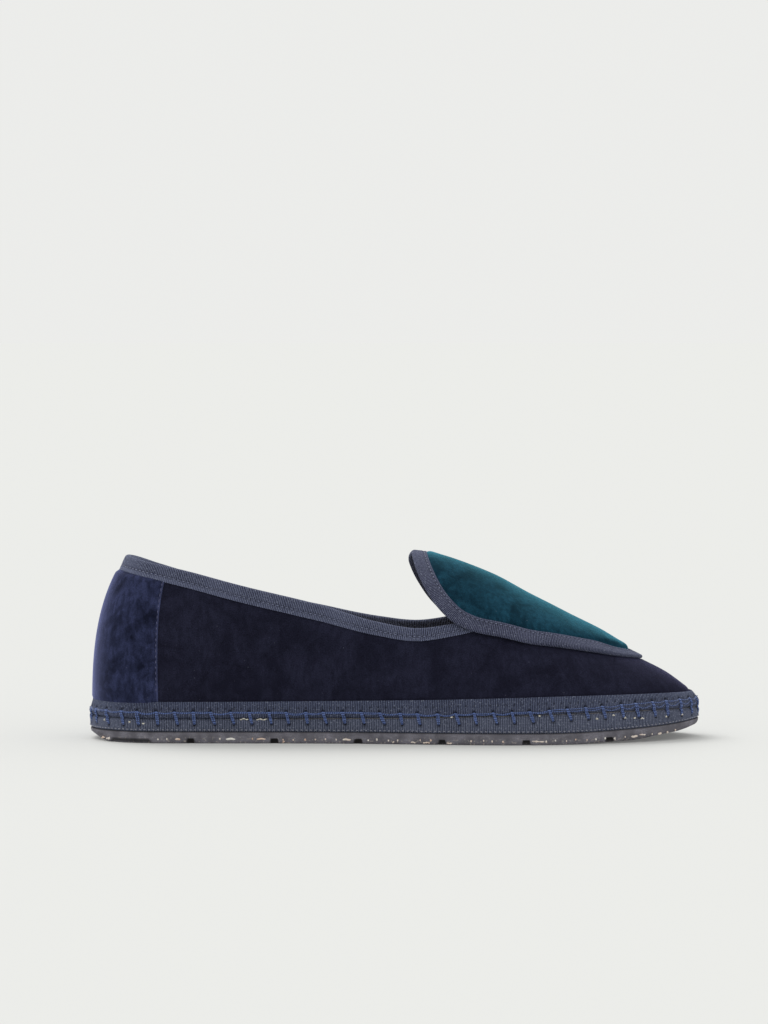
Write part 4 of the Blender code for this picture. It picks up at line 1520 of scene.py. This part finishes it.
@dataclass
class Vamp:
    """The padded teal vamp with its free tongue, and the tape folded over its edge."""

    tape: FoldedTape = FoldedTape(
        width=6.6 * MM,
        inner_width=6.0 * MM,
        top=2.16 * MM,
        bottom=0.42 * MM,
        spacing=0.5 * MM,
        seam=5.1 * MM,
        dark=(0.4, 0.4),
    )
    rear: float = 133.1 * MM
    tip: float = 231.3 * MM
    wide_rear: float = 153 * MM
    wide_front: float = 176.4 * MM
    rear_power: float = 2.3
    front_power: float = 2.2
    front_root: float = 0.53
    widest: float = math.radians(47.9)
    corner: float = 0.085
    corner_at: float = 158.7 * MM
    flank: float = 0.046
    flank_at: float = 178 * MM
    spread: float = 13 * MM
    inset: float = 1.0 * MM
    base: float = 0.85 * MM
    edge: float = 0.8 * MM
    padding: float = 1.15 * MM
    front_padding: float = 0.7 * MM
    rise: float = 0.9 * MM
    droop: float = 1.35 * MM
    pull: float = 2.2 * MM
    rows: int = 231
    columns: int = 120
    tape_rows: int = 340
    ridge_gap: float = 0.12 * MM
    bare: float = 0.12

    def half_angle(self, station: Array, inset: float = 0.0) -> Array:
        """Half of the vamp's angle over the ridge.

        Args:
            station: Distances from the back of the heel.
            inset: How far the edge is moved in.

        Returns:
            Angles, 0 at both ends, with superelliptic ends between.
        """
        rear, tip = self.rear + inset, self.tip - inset
        across = np.linalg.norm(LAST.tangents(LAST.theta(station), math.pi / 2 - self.widest)[1], axis=-1)
        corner = self.corner * bell(station - self.corner_at, self.spread)
        flank = self.flank * bell(station - self.flank_at, self.spread)
        angle = self.widest + corner + flank - inset / across
        back = rounding(self.wide_rear - station, self.wide_rear - rear, self.rear_power, 1 / self.rear_power)
        front = rounding(station - self.wide_front, tip - self.wide_front, self.front_power, self.front_root)
        return angle * back * front

    def stations(self, inset: float, rows: int) -> Array:
        """Stations from the tongue's edge to the tip, closer together at both ends."""
        rear, tip = self.rear + inset, self.tip - inset
        return rear + (tip - rear) * (1 - np.cos(np.linspace(0, math.pi, rows))) / 2

    def lift(self, station: Array) -> Array:
        """How much higher the vamp rides over the collar's tape."""
        return self.rise * (1 - ease(station, 166 * MM, 184 * MM))

    def tip_flatness(self, station: Array) -> Array:
        """0 over most of the vamp, rising to 1 at its tip, where the tape is pressed flat."""
        return ease(station, 210 * MM, 226 * MM)

    def settle(self, points: Array) -> Array:
        """Moves the vamp as it sits on the shoe: its free end droops, and its medial half is pulled back.

        Args:
            points: Points of the vamp.

        Returns:
            The moved points.
        """
        station = points[..., 0]
        side = points[..., 1] - LAST.column("axis", station)
        droop = self.droop * ease(station, 141 * MM, 132.5 * MM)
        pull = self.pull * ease(side, 0.0, 12 * MM) * ease(station, 185 * MM, 155 * MM)
        return points - np.stack([pull, 0 * pull, droop], axis=-1)

    def path(self) -> tuple[Array, Array]:
        """The edge all round: up the lateral side to the tip, and back.

        Returns:
            Its theta and phi.
        """
        station = self.stations(0.0, self.tape_rows)
        half, out = self.half_angle(station), LAST.theta(station)
        theta = np.concatenate([out, out[-2:0:-1]])
        return theta, math.pi / 2 + np.concatenate([-half, half[-2:0:-1]])

    def build_field(self, look: Finishes) -> None:
        """Builds the teal field: padding rises from the tape, and small puckers run in from it.

        Args:
            look: The finishes.
        """
        station = self.stations(self.inset, self.rows)[:, None]
        across = np.sin(np.linspace(-1, 1, self.columns + 1) * math.pi / 2)[None]
        phi = math.pi / 2 + self.half_angle(station, self.inset) * across
        theta = np.broadcast_to(LAST.theta(station), phi.shape)
        place = LAST.surface(theta, phi)
        border = np.concatenate([place[1:, 0], place[1:-1, -1][::-1]])
        gap = np.linalg.norm(place[:, :, None] - border[None, None, ::3], axis=-1)
        beside = arc_length(border)[::3][gap.argmin(axis=-1)]
        deep = gap.min(axis=-1) - self.tape.width + self.inset
        pucker = np.sin(beside / (1.3 * MM)) + 0.6 * np.sin(beside / (3.1 * MM) + 1.0)
        pucker = pucker * np.exp(-np.maximum(deep, 0) / (3.0 * MM)) * ease(deep, -1 * MM, 1.2 * MM)
        x, y = place[..., 0] / MM, place[..., 1] / MM
        uneven = np.sin(x / 9 + y / 14) * np.sin(y / 8 - x / 21 + 1.0) * ease(deep, 0, 8 * MM)
        free, front = ease(station, 147 * MM, 138 * MM), ease(station, 198 * MM, 214 * MM)
        steep = (2.0 - 1.0 * front - 0.9 * free) * MM
        soft = (self.padding + self.front_padding * front) * (1 - np.exp(-np.maximum(deep, 0) / steep))
        ruffle = bell(place[..., 0] - 153 * MM, 4.2 * MM) * bell(deep - 0.5 * MM, 1.6 * MM)
        ruffle = ruffle * (phi < math.pi / 2)
        under = self.base + self.lift(station)
        over = under + self.edge + soft + (0.45 * free - 0.5 * self.tip_flatness(station)) * MM
        over = over + (0.8 * ruffle + 0.11 * pucker + 0.09 * uneven) * MM
        levels = (over, under + 0.35 * MM, under + 0.33 * MM, under)
        faces = [self.settle(LAST.held_off(theta, phi, level)) for level in levels]
        run = (arc_length(place[:, self.columns // 2]), arc_length(place[self.rows // 3]))
        # Painted highlight along the ridge, strongest towards the tongue's free end.
        painted_highlight = bell(phi - math.pi / 2, 0.17) * (0.03 + 0.7 * ease(station, 152 * MM, 138 * MM))
        fit_on(lay_plate("velvet_vamp", tuple(faces[:2]), run, painted_highlight), look.teal, Slot.TEAL, "vamp")
        hidden = tuple(face[::2, ::2] for face in faces[2:])
        lining = lay_plate("vamp_lining", hidden, (run[0][::2], run[1][::2]), 0 * painted_highlight[::2, ::2])
        fit_on(lining, look.lining, Slot.LINING)

    def build_tape(self, look: Finishes) -> None:
        """Builds the tape: folded over the edge, with its legs kept apart along the ridge at the tip.

        Args:
            look: The finishes.
        """
        theta, phi = self.path()
        station = LAST.station(theta)
        flat = self.tip_flatness(station)[:, None]
        section, across = self.tape.section()
        ahead = tuple(np.roll(angle, -1) - np.roll(angle, 1) for angle in (theta, phi))
        width = section[None, :, 0] * (1 - 0.2 * flat)
        at = LAST.sidestep(theta[:, None], phi[:, None], (ahead[0][:, None], ahead[1][:, None]), width)
        side = np.sign(phi - math.pi / 2)[:, None]
        each = np.linalg.norm(LAST.tangents(theta, math.pi / 3)[1], axis=-1)[:, None]
        least = self.ridge_gap / each * (np.abs(phi - math.pi / 2) > WELD)[:, None]
        kept = math.pi / 2 + side * np.maximum(side * (at[1] - math.pi / 2), least)
        edge = LAST.surface(theta, phi)
        total = arc_length(np.concatenate([edge, edge[:1]]))
        run = total[:-1]
        groove, pit, hem = self.tape.sewing(run, section, 1.0)
        thin = 1 - 0.3 * flat
        ripple = 0.06 * MM * np.sin(run / (3.7 * MM)) * np.sin(run / (11 * MM) + 0.8)
        lift = section[None, :, 1] * thin - groove + ripple[:, None]
        up = LAST.normal(theta, phi) * self.lift(station)[:, None]
        points = self.settle(LAST.held_off(at[0], kept, lift) + up[:, None])
        quads = grid_quads(width.shape, (True, True))
        piece = lay_mesh("vamp_tape", points, quads, grid_map(total, across), {"pit": pit, "hem": 0.5 * hem})
        fit_on(piece, look.binding, Slot.TAPE, "vamp_binding")
        line = LAST.sidestep(theta, phi, ahead, self.tape.seam)
        level = (self.tape.top + 0.14 * MM) * thin[:, 0] + ripple
        base, over = (self.settle(LAST.held_off(*line, level + extra) + up) for extra in (0.0, 1 * MM))
        keep = side[:, 0] * (line[1] - math.pi / 2) > self.bare
        StitchRow("vamp_stitches", look.machine).build_over(base, over, keep.astype(float))


VAMP = Vamp()


@dataclass
class Insole:
    """The cotton-covered insole: a shallow dish that meets the lining."""

    thick: float = 2.5 * MM
    dish: float = 1.4 * MM
    rows: int = 150
    rings: int = 26

    def build(self, look: Finishes) -> None:
        """Builds the insole: rings scaled towards the axis, raised by dish * share^6 at the rim.

        Args:
            look: The finishes.
        """
        theta = np.arange(2 * self.rows) * math.pi / self.rows
        rim = LAST.plan(theta, -LAST.wall - 0.15 * MM)[:, None]
        station = LAST.station(theta)
        axis = np.stack([station, LAST.column("axis", station)], axis=-1)[:, None]
        share = np.linspace(1, 0, self.rings)[None, :, None]
        base = (LAST.seam(theta) + LAST.gap)[:, None]
        height = base + self.thick + self.dish * share[..., 0] ** 6
        top = np.concatenate([axis + (rim - axis) * share, height[..., None]], axis=-1)
        under = top.copy()
        under[..., 2] = base
        loop = np.concatenate([top[:, ::-1], under], axis=1)
        quads = grid_quads(loop.shape[:2], (True, False))
        piece = lay_mesh("cotton_insole", loop, quads, loop.reshape(-1, 3)[quads][..., :2])
        fit_on(piece, look.insole, Slot.LINING, "insole")


@dataclass
class RubberSole:
    """The outsole: sheet rubber with cross grooves, a fine tread, cord ends along its side."""

    thick: float = 4.8 * MM
    groove_first: float = 43 * MM
    groove_pitch: float = 34.4 * MM
    groove_count: int = 6
    groove_width: float = 3.2 * MM
    groove_depth: float = 1.4 * MM
    toe_rise: float = 0.8 * MM
    recess_depth: float = 1.0 * MM
    inset: float = 0.15 * MM
    side: Rows = (
        *((0.9, 0.0), (0.25, 0.35), (0.0, 1.1), (0.0, 2.2)),
        *((0.08, 3.2), (0.1, 4.2), (0.35, 4.72), (0.8, 4.8)),
    )
    rows: int = 560
    across: int = 74
    cord_pitch: float = 4.3 * MM
    cord: float = 0.46 * MM
    cord_height: float = 1.75 * MM
    seed: int = 11

    def groove(self, x: Array) -> Array:
        """The cross grooves' depth at a distance from the heel: flat floors with eased walls.

        Args:
            x: Distance from the heel.

        Returns:
            Depth.
        """
        half = self.groove_pitch / 2
        place = np.abs(np.mod(x - self.groove_first + half, self.groove_pitch) - half)
        last = self.groove_first + (self.groove_count - 0.5) * self.groove_pitch
        inside = (x > self.groove_first / 2) & (x < last)
        wall = (self.groove_width / 2 + 0.3 * MM, self.groove_width / 2 - 0.3 * MM)
        return self.groove_depth * ease(place, *wall) * inside

    def recess(self, x: Array) -> Array:
        """The depth of the recess that wear has cut along the heel's lower edge."""
        return self.recess_depth * ease(x, 9 * MM, 11 * MM) * ease(x, 27.5 * MM, 25.5 * MM)

    def tread(self, x: Array, y: Array) -> Array:
        """The fine tread's depth: slanted bars either side of a smooth rim.

        Args:
            x: Distance from the heel.
            y: Distance across.

        Returns:
            Depth, 0.7 mm between bars 5 mm apart that slant to left and right in turn.
        """
        slant = np.abs(np.mod(y / (18 * MM), 2) - 1) * 9 * MM
        bar = np.abs(np.mod(x + slant, 5 * MM) - 2.5 * MM)
        return 0.7 * MM * ease(bar, 1.5 * MM, 2.0 * MM)

    def build(self, look: Finishes) -> None:
        """Builds the sole as one closed section for each theta: tread, side, top, side.

        Args:
            look: The finishes.
        """
        theta = np.linspace(0, math.pi, self.rows)[:, None]
        station = LAST.station(theta)
        cut = 4.4 * MM * ease(station, 10 * MM, 0.3 * MM) + 0.9 * MM * ease(station, 247 * MM, 253.5 * MM)
        rise = 1.2 * MM * ease(station, 224 * MM, 242 * MM) + self.toe_rise * ease(station, 243 * MM, 253 * MM)
        low = LAST.tread(theta) + rise
        inwards, height = (np.array(self.side).T * MM)[:, None]
        grow = LAST.inset - self.inset - inwards - cut * np.clip(1 - height / (3.4 * MM), 0, 1)
        rings, pits = [], []
        for sign in (1.0, -1.0):
            plan = LAST.plan(sign * theta + 0 * height, grow)
            notch = np.maximum(self.groove(plan[..., 0]), self.recess(plan[..., 0]))
            notch = notch * ease(height, 2.4 * MM, 0.6 * MM)
            level = low + height * (1 - rise / self.thick) + notch
            rings.append(np.dstack([plan, level]))
            # Painted shade in the side notches, and a band of painted shade along the side's top edge under the
            # tape.
            dark = np.clip(notch / (1.3 * MM), 0, 1) * ease(height, 1.6 * MM, 0.9 * MM)
            pits.append(np.maximum(dark, 0.7 * ease(height, 4.3 * MM, 4.7 * MM)))
        lateral, medial = rings
        across = np.linspace(0, 1, self.across)[None, 1:-1, None]
        bottom = lateral[:, :1] + (medial[:, :1] - lateral[:, :1]) * across
        x, y = bottom[..., 0], bottom[..., 1]
        inner = np.minimum(*(np.linalg.norm(bottom - ring[:, :1], axis=-1) for ring in rings))
        inner = inner * ease(x, 0, 9 * MM) * ease(x, 252 * MM, 243 * MM)
        groove = self.groove(x)
        fine = self.tread(x, y) * ease(inner, 3 * MM, 4.5 * MM)
        depth = np.maximum(groove * ease(inner, 1.6 * MM, 3.2 * MM), fine)
        bottom[..., 2] = low + depth
        top = medial[:, -1:] + (lateral[:, -1:] - medial[:, -1:]) * np.linspace(0, 1, 12)[None, 1:-1, None]
        loop = np.concatenate([bottom, medial, top, lateral[:, ::-1]], axis=1)
        # Painted shade in the cross grooves and the fine tread underneath.
        under = np.maximum(0.45 * depth, groove * ease(inner, 1.6 * MM, 0.6 * MM)) / self.groove_depth
        pit = np.concatenate([under, pits[1], 0 * top[..., 0], pits[0][:, ::-1]], axis=1)
        quads = grid_quads(loop.shape[:2], (False, True))
        surface = loop.reshape(-1, 3)[quads][..., :2]
        piece = lay_mesh("corded_rubber_sole", loop, quads, surface, {"pit": pit})
        fit_on(piece, look.rubber, Slot.RUBBER, "outsole")

    def build_cords(self, rim: Rim, look: Finishes) -> None:
        """Builds the cut cord ends along the side: short pale tubes that stand just out of the rubber.

        Args:
            rim: The measured outline.
            look: The finishes.
        """
        rng = np.random.default_rng(self.seed)
        count = int(rim.length() / self.cord_pitch)
        run = (np.arange(count) + 0.5) * rim.length() / count + rng.uniform(-0.5, 0.5, count) * MM
        run = run[rng.uniform(size=count) > 0.12]
        theta = rim.theta_at(run)
        level = LAST.tread(theta) + self.cord_height + rng.uniform(-0.25, 0.25, len(run)) * MM
        torn = rng.uniform(size=len(run)) > 0.9
        long = np.where(torn, rng.uniform(0.8, 2.2, len(run)), rng.uniform(0.22, 0.42, len(run))) * MM
        station = LAST.station(theta)
        shallow = np.maximum(self.groove(station), self.recess(station)) < 0.5 * MM
        there = shallow & (station > 4 * MM) & (station < 249 * MM)
        run, level, long = (values[there, None] for values in (run, level, long))
        t = np.linspace(-1, 1, 7)[None]
        way = run + long * t
        wave = 0.12 * MM * np.sin(way / (0.5 * MM)) * (long > 0.6 * MM)
        size = self.cord * blunt(t) * rng.uniform(0.75, 1.2, len(run))[:, None]
        lines = rim.on_rubber(way, level + wave, LAST.inset - self.inset - 0.05 * MM)
        fit_on(lay_strands("cord_ends", lines, size, 8), look.cord, Slot.RUBBER)


@dataclass(frozen=True)
class Wisps:
    """Small curled fibres at chosen spots; each spot is its station, height and half length in mm."""

    spots: Rows
    swing: float
    turns: float
    radius: float
    lumps: float

    def bend(self, rim: Rim) -> tuple[Array, Array, Array]:
        """Bends the fibres in a wave of their height.

        Args:
            rim: The measured outline.

        Returns:
            Distances along the outline, heights, and radii, each (k, n).
        """
        station, height, half = (np.array(self.spots).T)[:, :, None]
        t = np.linspace(-1, 1, 15)[None]
        run = rim.run_at(station * MM) + half * MM * t
        size = self.radius * blunt(t) * (1 + 0.3 * np.sin(self.lumps * t + station))
        return run, height * MM + self.swing * np.sin(self.turns * t + station), size


FRAYS = Wisps(
    (
        *((6.2, 1.5, 1.2), (8.3, 1.2, 1.0), (81.2, 0.8, 0.5), (126.2, 0.9, 0.4), (134.3, 0.9, 1.0)),
        *((139.7, 0.8, 1.5), (149.1, 0.8, 1.2), (185.5, 1.6, 2.8), (217.2, 1.3, 0.5), (229.0, 1.9, 1.6)),
    ),
    swing=0.13 * MM,
    turns=2.5,
    radius=0.3 * MM,
    lumps=8.0,
)
WADDING = Wisps(
    (
        *((6.9, -1.0, 0.4), (17.7, -1.3, 0.4), (23.5, -1.8, 0.5), (65.0, 0.05, 1.9), (72.2, -0.1, 2.4)),
        *((209.7, -2.3, 0.5), (216.7, -1.2, 0.5), (150.0, 0.1, 0.5), (186.0, -0.2, 0.4)),
        *((221.5, -2.4, 0.4), (225.5, -2.8, 0.5), (228.8, -3.1, 0.9), (239.0, -2.9, 0.4), (246.0, -2.4, 0.4)),
    ),
    swing=0.18 * MM,
    turns=5.0,
    radius=0.24 * MM,
    lumps=9.0,
)


@dataclass
class LooseFibres:
    """Frayed ends of cord along the rubber's lower edge, and bits of pale wadding in the seam."""

    rim: Rim
    seam: HandSeam

    def fray(self, look: Finishes) -> None:
        """Builds the frayed ends.

        Args:
            look: The finishes.
        """
        run, height, size = FRAYS.bend(self.rim)
        lines = self.rim.on_rubber(run, LAST.tread(self.rim.theta_at(run)) + height, LAST.inset - 0.25 * MM)
        fit_on(lay_strands("frayed_cords", lines, size, 7), look.cord, Slot.RUBBER)

    def stuff(self, look: Finishes) -> None:
        """Builds the bits of wadding.

        Args:
            look: The finishes.
        """
        run, height, size = WADDING.bend(self.rim)
        lines = self.rim.on_tapes(run, height, self.seam.outside(height) + 0.05 * MM)
        fit_on(lay_strands("seam_fluff", lines, size, 7), look.fluff, Slot.CORE)


@dataclass
class Studio:
    """A pale floor, soft light from everywhere, and the photograph's long lens."""

    distance: float = 2.0
    height: float = 0.175
    frame_middle: tuple[float, float] = (-0.0046, 0.0938)
    frame_width: float = 0.3198
    white: float = 0.838
    glow: float = 0.12
    floor: float = 0.55
    towards_sun: Colour = (-0.34, 0.52, 0.74)

    def light(self) -> None:
        """Lights the scene: a white surround, and a broad soft sun from behind and above."""
        world = bpy.data.worlds.new("surround")
        bpy.context.scene.world = world
        world.use_nodes = True
        surround = world.node_tree.nodes["Background"].inputs
        surround["Color"].default_value = (1.0, 1.005, 0.985, 1.0)
        surround["Strength"].default_value = self.white
        sun = bpy.data.lights.new("soft_sun", "SUN")
        up = Vector(self.towards_sun).normalized()
        sun.energy = math.pi * ((self.white - self.glow) / self.floor - self.white) / up.z
        sun.angle = math.radians(46)
        lamp = bpy.data.objects.new("soft_sun", sun)
        lamp.rotation_euler = up.to_track_quat("Z", "Y").to_euler()
        bpy.context.scene.collection.objects.link(lamp)

    def lay_floor(self) -> None:
        """Lays a wide pale floor, whose slight glow keeps the shadows as light as the photograph's."""
        bpy.ops.mesh.primitive_plane_add(size=60)
        floor = bpy.context.object
        floor.name = "studio_floor"
        tint = (1.0, 1.005, 0.985)
        glow = {"Emission_Strength": self.glow, "Emission_Color": tint}
        paint = Recipe("pale_floor", Roughness=1.0, Specular_IOR_Level=0.0, **glow)
        paint.feed(paint.shader, {"Base Color": tuple(self.floor * part for part in tint)})
        floor.data.materials.append(paint.material)

    def aim(self) -> None:
        """Sets the camera level with the shoe's side, looking slightly down."""
        data = bpy.data.cameras.new("long_lens")
        data.sensor_fit = "HORIZONTAL"
        data.sensor_width = 36.0
        data.lens = data.sensor_width * self.distance / self.frame_width
        data.clip_end = 200.0
        camera = bpy.data.objects.new("long_lens", data)
        x, z = self.frame_middle
        camera.location = (x, -self.distance, self.height)
        aim = Vector((x, 0.0, z)) - camera.location
        camera.rotation_euler = aim.to_track_quat("-Z", "Y").to_euler()
        bpy.context.scene.collection.objects.link(camera)
        bpy.context.scene.camera = camera

    def build(self) -> None:
        """Builds floor, light and camera."""
        self.lay_floor()
        self.light()
        self.aim()
        bpy.context.scene.view_settings.view_transform = "Standard"


def main() -> None:
    """Builds the shoe piece by piece, from the sole up, and the studio round it."""
    logging.basicConfig(level=logging.INFO, format="%(name)s: %(message)s")
    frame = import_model()
    look = Finishes()
    rim = Rim()
    seam = HandSeam(rim)
    core = frame["nodes"]["midsole"]
    core.data.materials.clear()
    core.data.materials.append(look.core)
    sole = RubberSole()
    sole.build(look)
    sole.build_cords(rim, look)
    fibres = LooseFibres(rim, seam)
    fibres.fray(look)
    SoleTapes(rim, seam).build(look)
    seam.build(look)
    fibres.stuff(look)
    Insole().build(look)
    Quarters().build(look)
    HeelPanel().build(look)
    CollarTape().build(look)
    VAMP.build_field(look)
    VAMP.build_tape(look)
    Studio().build()


if __name__ == "__main__":
    main()
